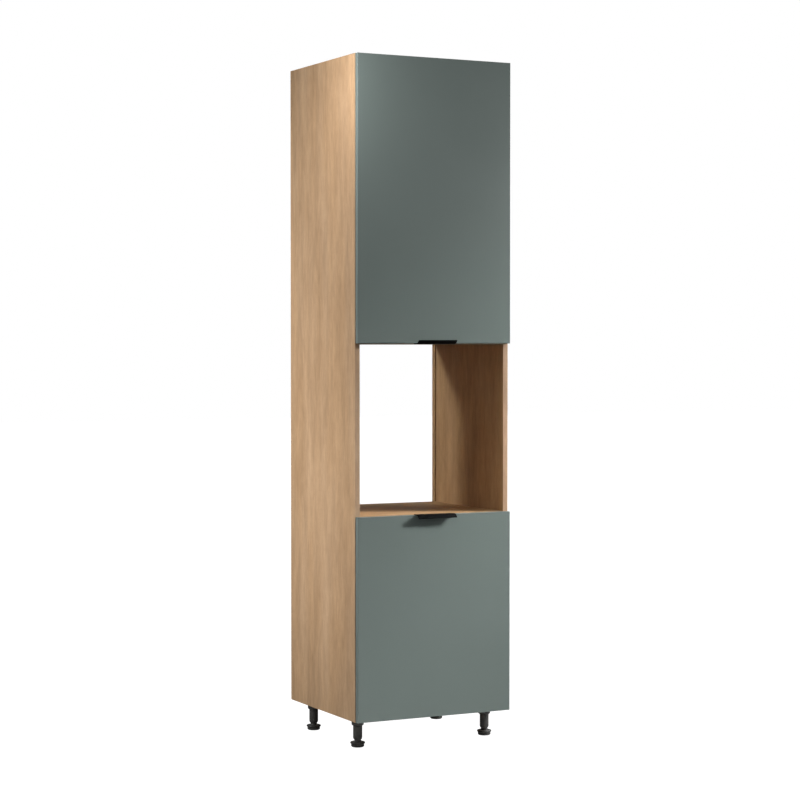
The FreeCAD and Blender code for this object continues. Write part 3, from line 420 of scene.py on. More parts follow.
def new_material(name):
    """An empty material; gives it with its nodes and texture coordinates."""
    material = bpy.data.materials.new(name)
    material.use_nodes = True
    material.node_tree.nodes.clear()
    nodes = Nodes(material.node_tree)
    return material, nodes, nodes.add("ShaderNodeTexCoord").outputs


def surface(nodes, **inputs):
    """The Principled shader of a material, with underscores for spaces in its socket names."""
    named = {key.replace("_", " "): value for key, value in inputs.items()}
    shader = nodes.add("ShaderNodeBsdfPrincipled", named)
    nodes.add("ShaderNodeOutputMaterial", {"Surface": shader.outputs[0]})


def oak_inputs(finish, place, tint=PLAIN_TINT):
    """Inputs of the oak figure, with its tones tinted for one board or band."""
    tones = {"Light": finish.oak_light, "Dark": finish.oak_dark, "Pore": finish.oak_pore}
    inputs = {"Place": place}
    for name, tone in tones.items():
        inputs[name] = opaque([part * share for part, share in zip(tone, tint)])
    return inputs


def mottled(nodes, coords, low, high, patch=14.0, grit=1200.0):
    """Roughness that wavers between two values, with the scales of its patches and its grit."""
    inputs = {"Place": coords["Object"], "Patch Scale": patch, "Grit Scale": grit, "Low": low, "High": high}
    return nodes.group("mottle", inputs)


def oak_board_material(name, finish, grain, across, tint):
    """Oak decor on a board's broad faces, and the chipboard core on its open edges and in its holes."""
    material, nodes, coords = new_material(name)
    turned = nodes.add("ShaderNodeMapping", {"Vector": coords["Object"], "Rotation": grain}).outputs[0]
    oak = nodes.group("oak_figure", oak_inputs(finish, turned, tint))
    core = nodes.group(
        "chip_core",
        {"Place": coords["Object"], "Light": opaque(finish.chip_light), "Dark": opaque(finish.chip_dark)},
    )
    face = nodes.group("broad_face", {"Normal": coords["Normal"], "Across": across})["Face"]
    sheen = mottled(nodes, coords, low=0.46, high=0.58)
    height = nodes.blend(face, core["Height"], oak["Height"])
    surface(
        nodes,
        Base_Color=nodes.blend(face, core["Colour"], oak["Colour"]),
        Roughness=nodes.math("MULTIPLY_ADD", nodes.math("SUBTRACT", 1.0, face), 0.35, sheen["Value"]),
        Specular_IOR_Level=0.2,
        Normal=nodes.bump(height, strength=0.25, distance=0.0004),
    )
    return material


def oak_band_material(name, finish, grain, tint):
    """A thin oak edge band, smoother than the boards, and darkened and greyed by its tint as painted shade.
    """
    material, nodes, coords = new_material(name)
    turned = nodes.add("ShaderNodeMapping", {"Vector": coords["Object"], "Rotation": grain}).outputs[0]
    oak = nodes.group("oak_figure", oak_inputs(finish, turned, tint))
    sheen = mottled(nodes, coords, low=0.40, high=0.52)
    surface(
        nodes,
        Base_Color=oak["Colour"],
        Roughness=sheen["Value"],
        Normal=nodes.bump(oak["Height"], strength=0.2, distance=0.0003),
    )
    return material


def back_board_material(finish):
    """Thin fibre board: oak decor to the front, bare brown fibre to the rear and on its edges."""
    material, nodes, coords = new_material("back_board_faces")
    oak = nodes.group("oak_figure", oak_inputs(finish, coords["Object"]))
    facing = nodes.add("ShaderNodeSeparateXYZ", {0: coords["Normal"]}).outputs["Y"]
    front = nodes.math("LESS_THAN", facing, -0.7)
    felt = nodes.grain(coords["Object"], scale=650.0, along=0.7, detail=4.0, roughness=0.7)
    cloud = nodes.noise(coords["Object"], 6.0, detail=3.0)
    tone = nodes.math("MULTIPLY_ADD", cloud, 0.4, nodes.math("MULTIPLY", felt, 0.6))
    fibre = nodes.blend(tone, opaque(finish.fibre_brown), opaque(finish.fibre_brown, 1.5))
    surface(
        nodes,
        Base_Color=nodes.blend(front, fibre, oak["Colour"]),
        Roughness=nodes.span(front, 0.0, 1.0, 0.82, 0.52),
        Normal=nodes.bump(nodes.blend(front, felt, oak["Height"]), strength=0.25, distance=0.0004),
    )
    return material


def green_front_material(finish):
    """Matt grey-green lacquer with a faint orange peel and cloudy sheen."""
    material, nodes, coords = new_material("green_lacquer")
    sheen = mottled(nodes, coords, low=0.31, high=0.37, patch=5.0, grit=700.0)
    deep = opaque(finish.front_green, 0.965)
    pale = opaque(finish.front_green, 1.035)
    tone = nodes.math("MULTIPLY_ADD", sheen["Grit"], 0.35, nodes.math("MULTIPLY", sheen["Patch"], 0.65))
    surface(
        nodes,
        Base_Color=nodes.blend(tone, deep, pale),
        Roughness=sheen["Value"],
        Normal=nodes.bump(sheen["Grit"], strength=0.06, distance=0.0002),
    )
    return material


def black_material(name, colour, low, high, grit_scale, depth, shine):
    """Black powder coat or moulded plastic: fine grit, uneven sheen and a little dust in it."""
    material, nodes, coords = new_material(name)
    sheen = mottled(nodes, coords, low, high, patch=40.0, grit=grit_scale)
    tone = nodes.math("MULTIPLY", sheen["Patch"], sheen["Grit"])
    surface(
        nodes,
        Base_Color=nodes.blend(tone, opaque(colour), opaque(colour, 1.9)),
        Roughness=sheen["Value"],
        Specular_IOR_Level=shine,
        Normal=nodes.bump(sheen["Grit"], strength=0.3, distance=depth),
    )
    return material


def metal_material(name, colour, low, high, lines, depth):
    """Plated or cast metal: clouded sheen over fine drawn lines or casting grain."""
    material, nodes, coords = new_material(name)
    sheen = mottled(nodes, coords, low, high, patch=60.0, grit=1800.0)
    drawn = nodes.noise(nodes.stretch(coords["Object"], lines), 1500.0, detail=2.0)
    tone = nodes.math("MULTIPLY_ADD", drawn, 0.5, nodes.math("MULTIPLY", sheen["Patch"], 0.5))
    surface(
        nodes,
        Base_Color=nodes.blend(tone, opaque(colour, 0.78), opaque(colour)),
        Metallic=1.0,
        Roughness=sheen["Value"],
        Normal=nodes.bump(drawn, strength=0.15, distance=depth),
    )
    return material


def beech_material(finish):
    """Pale beech along X with short brown flecks."""
    material, nodes, coords = new_material("beech_grain")
    place = nodes.stretch(coords["Object"], (0.12, 1.0, 1.0))
    grain = nodes.noise(place, 700.0, detail=3.0)
    fleck = nodes.span(nodes.noise(place, 1500.0, detail=1.0), 0.62, 0.7)
    colour = nodes.blend(grain, opaque(finish.beech, 0.7), opaque(finish.beech))
    colour = nodes.blend(nodes.math("MULTIPLY", fleck, 0.5), colour, opaque(finish.beech, 0.45))
    surface(
        nodes,
        Base_Color=colour,
        Roughness=nodes.span(grain, 0.3, 0.7, 0.6, 0.75),
        Normal=nodes.bump(grain, strength=0.2, distance=0.0003),
    )
    return material


def clear_bumper_material():
    """Clear soft plastic with a faint clouding."""
    material, nodes, coords = new_material("clear_soft_plastic")
    sheen = mottled(nodes, coords, low=0.08, high=0.25, patch=300.0, grit=2500.0)
    surface(
        nodes,
        Base_Color=nodes.blend(sheen["Patch"], (0.86, 0.88, 0.88, 1.0), (0.97, 0.98, 0.98, 1.0)),
        Roughness=sheen["Value"],
        Transmission_Weight=0.85,
        IOR=1.45,
        Normal=nodes.bump(sheen["Patch"], strength=0.1, distance=0.0002),
    )
    return material


def dress(material, *nodes):
    """Puts a material on every slot of the named CAD nodes."""
    for name in nodes:
        item = NODES[name]
        if not item.material_slots:
            item.data.materials.append(material)
        for slot in item.material_slots:
            slot.material = material


def add_piece(name, mesh, material, slot, *stands_for):
    """Links a finished mesh as a piece that stands for CAD nodes and rides on their body."""
    bodies = {BODY_OF[node] for node in stands_for}
    if len(bodies) != 1:
        raise RuntimeError(f"{name} would ride on {sorted(bodies)}")
    mesh.materials.clear()
    mesh.materials.append(material)
    made = bpy.data.objects.new(name, mesh)
    bpy.context.scene.collection.objects.link(made)
    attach(made, bodies.pop())
    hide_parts(*stands_for)
    return made


def solids_of(node):
    """Lowest and highest corner of every separate solid in a CAD node."""
    bm = bmesh.new()
    bm.from_mesh(NODES[node].data)
    bmesh.ops.remove_doubles(bm, verts=bm.verts, dist=WELD)
    left = set(bm.verts)
    boxes = []
    while left:
        reach = [left.pop()]
        found = []
        while reach:
            vert = reach.pop()
            found.append(vert.co.copy())
            for edge in vert.link_edges:
                other = edge.other_vert(vert)
                if other in left:
                    left.remove(other)
                    reach.append(other)
        low = Vector([min(co[axis] for co in found) for axis in range(3)])
        high = Vector([max(co[axis] for co in found) for axis in range(3)])
        boxes.append((low, high))
    bm.free()
    return sorted(boxes, key=lambda pair: (round(pair[0].z, 5), round(pair[0].x, 5)))


def smooth(mesh, angle):
    """Shades a mesh smooth, with edges sharper than the angle kept crisp."""
    mesh.polygons.foreach_set("use_smooth", [True] * len(mesh.polygons))
    mesh.set_sharp_from_angle(angle=math.radians(angle))
    return mesh


def baked(item):
    """The evaluated mesh of an object as a plain mesh; the object itself is removed."""
    bpy.context.view_layer.update()
    graph = bpy.context.evaluated_depsgraph_get()
    mesh = bpy.data.meshes.new_from_object(item.evaluated_get(graph))
    item.modifiers.clear()
    bpy.data.objects.remove(item)
    return mesh


def linked(name, data):
    """A new object of the scene that shows a mesh, light or camera."""
    item = bpy.data.objects.new(name, data)
    bpy.context.scene.collection.objects.link(item)
    return item


def rounded(corners, radius, steps=4):
    """A profile whose inner corners are replaced by short curves."""
    points = [corners[0]]
    for before, corner, after in zip(corners, corners[1:], corners[2:]):
        here = Vector(corner)
        back = Vector(before) - here
        ahead = Vector(after) - here
        cut = min(radius, ROUND_SHARE * back.length, ROUND_SHARE * ahead.length)
        start = here + back.normalized() * cut
        end = here + ahead.normalized() * cut
        for step in range(steps + 1):
            t = step / steps
            points.append(tuple((1 - t) ** 2 * start + 2 * t * (1 - t) * here + t * t * end))
    points.append(corners[-1])
    return points


def turned_mesh(name, profile, middle, segments=64):
    """A solid of revolution about an upright axis; the profile starts and ends on that axis."""
    bm = bmesh.new()
    rings = []
    for radius, level in profile:
        if radius < WELD:
            rings.append([bm.verts.new((middle.x, middle.y, level))])
            continue
        ring = []
        for index in range(segments):
            angle = 2 * math.pi * index / segments
            x = middle.x + radius * math.cos(angle)
            y = middle.y + radius * math.sin(angle)
            ring.append(bm.verts.new((x, y, level)))
        rings.append(ring)
    for upper, lower in zip(rings, rings[1:]):
        for index in range(segments):
            after = (index + 1) % segments
            if len(upper) == 1:
                corners = (upper[0], lower[index], lower[after])
            elif len(lower) == 1:
                corners = (upper[index], lower[0], upper[after])
            else:
                corners = (upper[index], lower[index], lower[after], upper[after])
            bm.faces.new(corners)
    bmesh.ops.recalc_face_normals(bm, faces=bm.faces)
    mesh = bpy.data.meshes.new(name)
    bm.to_mesh(mesh)
    bm.free()
    return mesh


def prism_mesh(name, first, last):
    """A closed mesh between two outlines with as many points each."""
    bm = bmesh.new()
    first = [bm.verts.new(point) for point in first]
    last = [bm.verts.new(point) for point in last]
    bm.faces.new(first)
    bm.faces.new(last)
    for index in range(len(first)):
        after = (index + 1) % len(first)
        bm.faces.new((first[index], first[after], last[after], last[index]))
    bmesh.ops.recalc_face_normals(bm, faces=bm.faces)
    mesh = bpy.data.meshes.new(name)
    bm.to_mesh(mesh)
    bm.free()
    return mesh


def new_tree(name, inputs):
    """A Geometry Nodes tree with a geometry in and out and named inputs; gives nodes, inputs, output."""
    tree = bpy.data.node_groups.new(name, "GeometryNodeTree")
    tree.interface.new_socket("Geometry", in_out="INPUT", socket_type="NodeSocketGeometry")
    for label, kind in inputs:
        tree.interface.new_socket(label, in_out="INPUT", socket_type="NodeSocket" + kind)
    tree.interface.new_socket("Geometry", in_out="OUTPUT", socket_type="NodeSocketGeometry")
    nodes = Nodes(tree)
    return nodes, nodes.add("NodeGroupInput").outputs, nodes.add("NodeGroupOutput").inputs


def finish_tree(nodes, result, geometry, material):
    """Ends a tree with real meshes in place of instances, and their material."""
    real = nodes.add("GeometryNodeRealizeInstances", {"Geometry": geometry}).outputs[0]
    ended = nodes.add("GeometryNodeSetMaterial", {"Geometry": real, "Material": material}).outputs[0]
    nodes.tree.links.new(ended, result["Geometry"])


def use_tree(item, tree, values):
    """Adds a tree to an object, with its inputs set by their identifiers."""
    modifier = item.modifiers.new(tree.name, "NODES")
    modifier.node_group = tree
    for socket in tree.interface.items_tree:
        if socket.in_out == "INPUT" and socket.name in values:
            modifier[socket.identifier] = values[socket.name]


def make_foot_tree():
    """Upright ribs round the pad of a foot and the thread up its stem."""
    nodes, given, result = new_tree(
        "foot_ribs_and_thread",
        [
            ("Middle", "Vector"),
            ("Rib Count", "Int"),
            ("Rib Radius", "Float"),
            ("Rib Height", "Float"),
            ("Rib Level", "Float"),
            ("Ring Radius", "Float"),
            ("Thread Turns", "Float"),
            ("Thread Radius", "Float"),
            ("Thread Height", "Float"),
            ("Thread Level", "Float"),
            ("Ridge", "Float"),
            ("Finish", "Material"),
        ],
    )

    def raised(geometry, level):
        lift = nodes.add("ShaderNodeCombineXYZ", {"Z": given[level]}).outputs[0]
        place = nodes.add("ShaderNodeVectorMath", {0: given["Middle"], 1: lift}).outputs[0]
        return nodes.add("GeometryNodeTransform", {"Geometry": geometry, "Translation": place}).outputs[0]

    ring = nodes.add(
        "GeometryNodeMeshCircle", {"Vertices": given["Rib Count"], "Radius": given["Ring Radius"]}
    )
    rib = nodes.add(
        "GeometryNodeMeshCylinder",
        {"Vertices": 10, "Radius": given["Rib Radius"], "Depth": given["Rib Height"]},
    )
    ribs = nodes.add(
        "GeometryNodeInstanceOnPoints", {"Points": ring.outputs[0], "Instance": rib.outputs[0]}
    )
    spiral = nodes.add(
        "GeometryNodeCurveSpiral",
        {
            "Resolution": 40,
            "Rotations": given["Thread Turns"],
            "Start Radius": given["Thread Radius"],
            "End Radius": given["Thread Radius"],
            "Height": given["Thread Height"],
        },
    )
    ridge = nodes.add("GeometryNodeCurvePrimitiveCircle", {"Resolution": 6, "Radius": given["Ridge"]})
    thread = nodes.add(
        "GeometryNodeCurveToMesh",
        {"Curve": spiral.outputs[0], "Profile Curve": ridge.outputs[0], "Fill Caps": True},
    )
    joined = nodes.add("GeometryNodeJoinGeometry")
    for geometry in (
        given["Geometry"],
        raised(ribs.outputs[0], "Rib Level"),
        raised(thread.outputs[0], "Thread Level"),
    ):
        nodes.tree.links.new(geometry, joined.inputs[0])
    finish_tree(nodes, result, joined.outputs[0], given["Finish"])
    return nodes.tree


def make_set_out_tree():
    """Copies of one shape on the points of a mesh, each spun about its own axis."""
    nodes, given, result = new_tree(
        "set_out",
        [
            ("Shape", "Object"),
            ("Turn", "Vector"),
            ("Spin", "Float"),
            ("Seed", "Int"),
            ("Finish", "Material"),
        ],
    )
    shape = nodes.add("GeometryNodeObjectInfo", {"Object": given["Shape"]}).outputs["Geometry"]
    turn = nodes.add("FunctionNodeEulerToRotation", {0: given["Turn"]}).outputs[0]
    placed = nodes.add(
        "GeometryNodeInstanceOnPoints", {"Points": given["Geometry"], "Instance": shape, "Rotation": turn}
    ).outputs[0]
    chance = nodes.add(
        "FunctionNodeRandomValue", {"Max": given["Spin"], "Seed": given["Seed"]}, data_type="FLOAT"
    )
    angle = next(socket for socket in chance.outputs if socket.type == "VALUE" and socket.enabled)
    about = nodes.add("ShaderNodeCombineXYZ", {"Z": angle}).outputs[0]
    spun = nodes.add("GeometryNodeRotateInstances", {"Instances": placed, "Rotation": about}).outputs[0]
    finish_tree(nodes, result, spun, given["Finish"])
    return nodes.tree


def set_out(name, tree, points, shape, turn, material, seed):
    """One mesh with a copy of a shape at every point."""
    mesh = bpy.data.meshes.new(name)
    mesh.from_pydata([tuple(point) for point in points], [], [])
    item = linked(name + "_points", mesh)
    values = {"Shape": shape, "Turn": turn, "Spin": 2 * math.pi, "Seed": seed, "Finish": material}
    use_tree(item, tree, values)
    made = baked(item)
    made.name = name
    return made


class CABINET_OT_boards(bpy.types.Operator):
    """Puts oak decor and open chipboard edges on the panels and shelves, with painted bounce light warming
    the right panel and the lying boards
    """

    bl_idname = "cabinet.boards"
    bl_label = "Oak Boards"

    def execute(self, context):
        finish = context.scene.cabinet_finish
        aside = (1.0, 0.0, 0.0)
        upright = (0.0, 0.0, 1.0)
        left = oak_board_material("oak_left_board", finish, GRAIN_ALONG_Z, aside, PLAIN_TINT)
        # The right board and the lying boards are warmed with painted bounce light.
        right = oak_board_material("oak_right_board", finish, GRAIN_ALONG_Z, aside, PAINTED_BOUNCE_TINT)
        lying = oak_board_material("oak_lying_board", finish, GRAIN_ALONG_X, upright, PAINTED_BOUNCE_TINT)
        dress(left, "left_side_panel")
        dress(right, "right_side_panel")
        dress(lying, "bottom_panel", "oven_shelf", "niche_top_panel", "top_panel")
        dress(lying, "lower_shelf", "upper_shelf_low", "upper_shelf_high")
        return {"FINISHED"}


class CABINET_OT_bands(bpy.types.Operator):
    """Puts the oak edge bands' finish on, darkened and greyed with painted shade"""

    bl_idname = "cabinet.bands"
    bl_label = "Edge Bands"

    def execute(self, context):
        finish = context.scene.cabinet_finish
        # Both band materials are darkened and greyed with painted shade.
        upright = oak_band_material("oak_upright_band", finish, GRAIN_ALONG_Z, UPRIGHT_BAND_SHADE)
        dress(upright, "side_edge_bands")
        lying = oak_band_material("oak_lying_band", finish, GRAIN_ALONG_X, LYING_BAND_SHADE)
        dress(lying, "panel_edge_bands", "shelf_edge_bands")
        return {"FINISHED"}


class CABINET_OT_backs(bpy.types.Operator):
    """Puts the fibre board's finish on the back panels"""

    bl_idname = "cabinet.backs"
    bl_label = "Back Panels"

    def execute(self, context):
        material = back_board_material(context.scene.cabinet_finish)
        dress(material, "lower_back_panel", "upper_back_panel")
        return {"FINISHED"}


class CABINET_OT_fronts(bpy.types.Operator):
    """Puts the grey-green lacquer on the doors"""

    bl_idname = "cabinet.fronts"
    bl_label = "Door Fronts"

    def execute(self, context):
        material = green_front_material(context.scene.cabinet_finish)
        dress(material, *[door + "_door" for door in DOORS])
        return {"FINISHED"}


class CABINET_OT_handles(bpy.types.Operator):
    """Bends the two edge handles with rounded cut edges"""

    bl_idname = "cabinet.handles"
    bl_label = "Edge Handles"

    def execute(self, context):
        colour = context.scene.cabinet_finish.coat_black
        material = black_material(
            "black_powder_coat", colour, low=0.50, high=0.62, grit_scale=1600.0, depth=0.0001, shine=0.01
        )
        for door in DOORS:
            node = door + "_handle"
            mesh = handle_mesh(node, context.scene.cabinet_detail, at_top=door == "lower")
            add_piece(door + "_edge_handle", mesh, material, "black_handle", node)
        return {"FINISHED"}


def handle_mesh(node, detail, at_top):
    """The handle's bent sheet: tab behind the door, plate over its end and a sloping nose in front."""
    low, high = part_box(node)
    sheet = detail.handle_sheet
    up = 1 if at_top else -1
    outer = high.z if at_top else low.z
    tab_end = low.z if at_top else high.z

    def arc(middle_y, middle_drop, radius, start, end, steps):
        points = []
        for step in range(steps + 1):
            angle = math.radians(start + (end - start) * step / steps)
            y = middle_y + radius * math.cos(angle)
            points.append((y, outer + up * (radius * math.sin(angle) - middle_drop)))
        return points

    bend = detail.handle_bend
    end_cut = sheet * math.cos(math.radians(NOSE_SLOPE))
    slope = detail.handle_lip - end_cut
    bend_y = low.y + slope + bend * math.tan(math.radians(NOSE_SLOPE / 2))
    tab = detail.handle_tab
    profile = [(high.y, tab_end)]
    profile += arc(high.y - tab, tab, tab, 0, 90, BEND_STEPS // 2)
    profile += arc(bend_y, bend, bend, 90, 90 + NOSE_SLOPE, BEND_STEPS)
    profile += [(low.y, outer - up * slope), (low.y + end_cut, outer - up * detail.handle_lip)]
    profile += arc(bend_y, bend, bend - sheet, 90 + NOSE_SLOPE, 90, BEND_STEPS)
    profile += [(high.y - tab, outer - up * sheet), (high.y - tab, tab_end)]
    first = [(low.x, y, z) for y, z in profile]
    last = [(high.x, y, z) for y, z in profile]
    mesh = prism_mesh(node + "_sheet", first, last)
    item = linked(node + "_blank", mesh)
    bevel = item.modifiers.new("cut_edges", "BEVEL")
    bevel.width = detail.handle_edge
    bevel.segments = 3
    bevel.limit_method = "ANGLE"
    bevel.angle_limit = math.radians(SHEET_CREASE)
    return smooth(baked(item), SHEET_CREASE)


class CABINET_OT_legs(bpy.types.Operator):
    """Turns the sockets, columns and threaded feet of the four legs"""

    bl_idname = "cabinet.legs"
    bl_label = "Legs"

    def execute(self, context):
        colour = context.scene.cabinet_finish.mould_black
        detail = context.scene.cabinet_detail
        material = black_material(
            "black_moulded_plastic",
            colour,
            low=0.40,
            high=0.55,
            grit_scale=1100.0,
            depth=0.00015,
            shine=0.5,
        )
        tree = make_foot_tree()
        for leg in LEGS:
            for node, make in (("_leg_socket", socket_mesh), ("_leg_column", column_mesh)):
                mesh = make(leg + node, detail)
                add_piece(leg + node + "_moulding", mesh, material, "black_leg", leg + node)
            mesh = foot_mesh(leg + "_foot", detail, tree, material)
            add_piece(leg + "_foot_moulding", mesh, material, "black_leg", leg + "_foot")
        return {"FINISHED"}


def leg_part(node):
    """Middle, outer radius, lowest and highest level of a turned CAD node."""
    low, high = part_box(node)
    return (low + high) / 2, (high.x - low.x) / 2, low.z, high.z


def turned_part(node, profile, middle, detail):
    """A moulded leg part with rounded corners."""
    return smooth(turned_mesh(node, rounded(profile, detail.leg_edge), middle), MOULDING_CREASE)


def socket_mesh(node, detail):
    """A round socket with a moulded bead, a tapered end and a peg on top."""
    middle, radius, low, high = leg_part(node)
    seat = low + detail.socket_drop
    bead = seat - detail.socket_bead
    wall = radius - 0.15 * detail.socket_bead
    wall_top = bead - 0.25 * detail.socket_bead
    peg_tip = 0.85 * detail.peg_radius
    peg_shoulder = high - 0.3 * detail.peg_radius
    bore = leg_part(node.replace("socket", "column"))[1]
    profile = [
        (0.0, high),
        (peg_tip, high),
        (detail.peg_radius, peg_shoulder),
        (detail.peg_radius, seat),
        (radius, seat),
        (radius, bead),
        (wall, wall_top),
        (wall, low + detail.socket_taper),
        (bore + detail.leg_wall, low),
        (bore, low),
        (bore, seat - detail.socket_floor),
        (0.0, seat - detail.socket_floor),
    ]
    return turned_part(node, profile, middle, detail)


def column_mesh(node, detail):
    """A round column with a tapered lower end and the foot's bore."""
    middle, radius, low, high = leg_part(node)
    bore = detail.stem_radius + detail.stem_play
    profile = [
        (0.0, high),
        (radius, high),
        (radius, low + detail.column_taper),
        (bore + detail.leg_wall, low),
        (bore, low),
        (bore, high - detail.column_roof),
        (0.0, high - detail.column_roof),
    ]
    return turned_part(node, profile, middle, detail)


def foot_mesh(node, detail, tree, material):
    """A foot with a threaded stem, a rim and a ribbed pad."""
    middle, radius, low, high = leg_part(node)
    ridge = detail.thread_ridge
    stem = detail.stem_radius - 1.4 * ridge
    rim = low + detail.rim_level
    rim_low = rim - detail.rim_edge
    pad_top = rim_low - detail.rim_slope
    pad_low = low + detail.pad_round
    rib_ring = detail.pad_radius - 0.6 * detail.rib_radius
    thread_low = rim + 2 * detail.rim_round
    thread_height = high - thread_low - detail.rim_round
    profile = [
        (0.0, high),
        (stem, high),
        (stem, rim + detail.rim_round),
        (stem + detail.rim_round, rim),
        (radius - detail.rim_round, rim),
        (radius, rim - detail.rim_round),
        (radius, rim_low),
        (detail.pad_radius, pad_top),
        (detail.pad_radius, pad_low),
        (detail.pad_radius - detail.pad_round, low),
        (0.0, low),
    ]
    item = linked(node, turned_part(node, profile, middle, detail))
    values = {
        "Middle": (middle.x, middle.y, 0.0),
        "Rib Count": detail.rib_count,
        "Rib Radius": detail.rib_radius,
        "Rib Height": pad_top - pad_low,
        "Rib Level": (pad_top + pad_low) / 2,
        "Ring Radius": rib_ring,
        "Thread Turns": thread_height / detail.thread_pitch,
        "Thread Radius": detail.stem_radius - ridge,
        "Thread Height": thread_height,
        "Thread Level": thread_low,
        "Ridge": ridge,
        "Finish": material,
    }
    use_tree(item, tree, values)
    return smooth(baked(item), MOULDING_CREASE)


class CABINET_OT_hinges(bpy.types.Operator):
    """Puts nickel on the hinges and sets out their screws and the handles' screws"""

    bl_idname = "cabinet.hinges"
    bl_label = "Hinges and Screws"

    def execute(self, context):
        finish = context.scene.cabinet_finish
        nickel = metal_material(
            "nickel_plating", finish.nickel, low=0.22, high=0.36, lines=DRAWN_LINES, depth=0.0001
        )
        steel = metal_material(
            "plated_screw_steel", finish.screw_steel, low=0.26, high=0.40, lines=EVEN_GRAIN, depth=0.0001
        )
        for door in DOORS:
            dress(nickel, *[f"{door}_hinge_{part}" for part in ("cups", "links", "arms", "plates")])
            dress(steel, door + "_cup_pins", door + "_arm_pins")
        tree = make_set_out_tree()
        for kind, screw in SCREWS.items():
            shape = screw_shape(kind, screw)
            for seed, door in enumerate(DOORS):
                node = f"{door}_{kind}_screws"
                points = [screw_seat(low, high, screw) for low, high in solids_of(node)]
                mesh = set_out(node + "_set", tree, points, shape, screw.turn, steel, seed)
                add_piece(node + "_set", smooth(mesh, SCREW_CREASE), steel, "screw_steel", node)
            bpy.data.objects.remove(shape)
        return {"FINISHED"}


def screw_seat(low, high, screw):
    """Where the underside of a screw's head lies, from the corners of its CAD solid."""
    middle = (low + high) / 2
    if screw.turn == HEAD_TO_BACK:
        return (middle.x, high.y - screw.height, middle.z)
    return (low.x + screw.height, middle.y, middle.z)


def screw_shape(kind, screw):
    """A pan-head screw on the origin, head up, with a cross recess and thread rings."""
    head = screw.head
    height = screw.height
    profile = [
        (0.0, height),
        (0.55 * head, height),
        (0.9 * head, 0.7 * height),
        (head, 0.2 * height),
        (head, 0.0),
    ]
    profile = rounded(profile, 0.3 * head, steps=2) + [(screw.shank, 0.0)]
    neck = 0.001
    tip = 0.002
    root = 0.78 * screw.shank
    rings = 8
    step = (screw.length - neck - tip) / rings
    for ring in range(rings):
        level = -neck - ring * step
        profile += [(screw.shank, level), (root, level - 0.5 * step)]
    profile += [(screw.shank, -screw.length + tip), (0.0, -screw.length)]
    item = linked(kind + "_screw", turned_mesh(kind + "_screw", profile, Vector((0, 0, 0)), segments=20))
    cutter = linked(kind + "_recess", recess_mesh(head, height))
    cut = item.modifiers.new("recess", "BOOLEAN")
    cut.object = cutter
    cut.operation = "DIFFERENCE"
    cut.solver = "EXACT"
    mesh = baked(item)
    bpy.data.objects.remove(cutter)
    return linked(kind + "_screw", mesh)


def recess_mesh(head, height):
    """A tapered cross that is cut out of a screw's head."""
    wide = 0.5 * head
    thin = 0.12 * head
    top = 1.5 * height
    bottom = 0.35 * height
    taper = 0.8
    arm = [(wide, -thin), (wide, thin), (thin, thin)]
    outline = []
    for _ in range(4):
        outline += arm
        arm = [(-y, x) for x, y in arm]
    upper = [(x, y, top) for x, y in outline]
    lower = [(taper * x, taper * y, bottom) for x, y in outline]
    return prism_mesh("cross_recess", upper, lower)


class CABINET_OT_fittings(bpy.types.Operator):
    """Puts zinc, steel and beech on the board fittings and domes the clear bumpers"""

    bl_idname = "cabinet.fittings"
    bl_label = "Fittings and Bumpers"

    def execute(self, context):
        finish = context.scene.cabinet_finish
        cast = metal_material(
            "zinc_casting", finish.zinc, low=0.38, high=0.55, lines=EVEN_GRAIN, depth=0.0003
        )
        steel = bpy.data.materials["plated_screw_steel"]
        dress(cast, "cam_housings")
        dress(steel, "cam_bolts", "shelf_pins")
        dress(beech_material(finish), "dowels")
        clear = clear_bumper_material()
        tree = bpy.data.node_groups["set_out"]
        for seed, door in enumerate(DOORS):
            node = door + "_door_bumpers"
            boxes = solids_of(node)
            shape = bumper_shape(boxes[0])
            points = [((low.x + high.x) / 2, low.y, (low.z + high.z) / 2) for low, high in boxes]
            mesh = set_out(node + "_domes", tree, points, shape, HEAD_TO_BACK, clear, seed)
            bpy.data.objects.remove(shape)
            add_piece(node + "_domes", smooth(mesh, MOULDING_CREASE), clear, "clear_bumper", node)
        return {"FINISHED"}


def bumper_shape(box):
    """A low clear dome with a flat seat, on the origin, dome up."""
    low, high = box
    radius = (high.x - low.x) / 2
    height = high.y - low.y
    profile = [(out * radius, rise * height) for out, rise in DOME]
    mesh = turned_mesh("bumper_dome", rounded(profile, 0.2 * radius), Vector((0, 0, 0)), segments=32)
    return linked("bumper_dome", mesh)


class CABINET_OT_stage(bpy.types.Operator):
    """Sets up the floor, the studio light and the camera"""

    bl_idname = "cabinet.stage"
    bl_label = "Studio Stage"

    def execute(self, context):
        stage = context.scene.cabinet_stage
        make_floor(stage)
        make_world(context.scene, stage)
        lights = {}
        for name, lamp in LAMPS.items():
            lights[name] = add_area_light(name + "_light", getattr(stage, name + "_power"), lamp)
        lights["key"].spread = stage.key_spread
        lights["rear"].spread = stage.rear_spread
        add_camera(context.scene, stage)
        context.scene.view_settings.view_transform = "Standard"
        return {"FINISHED"}


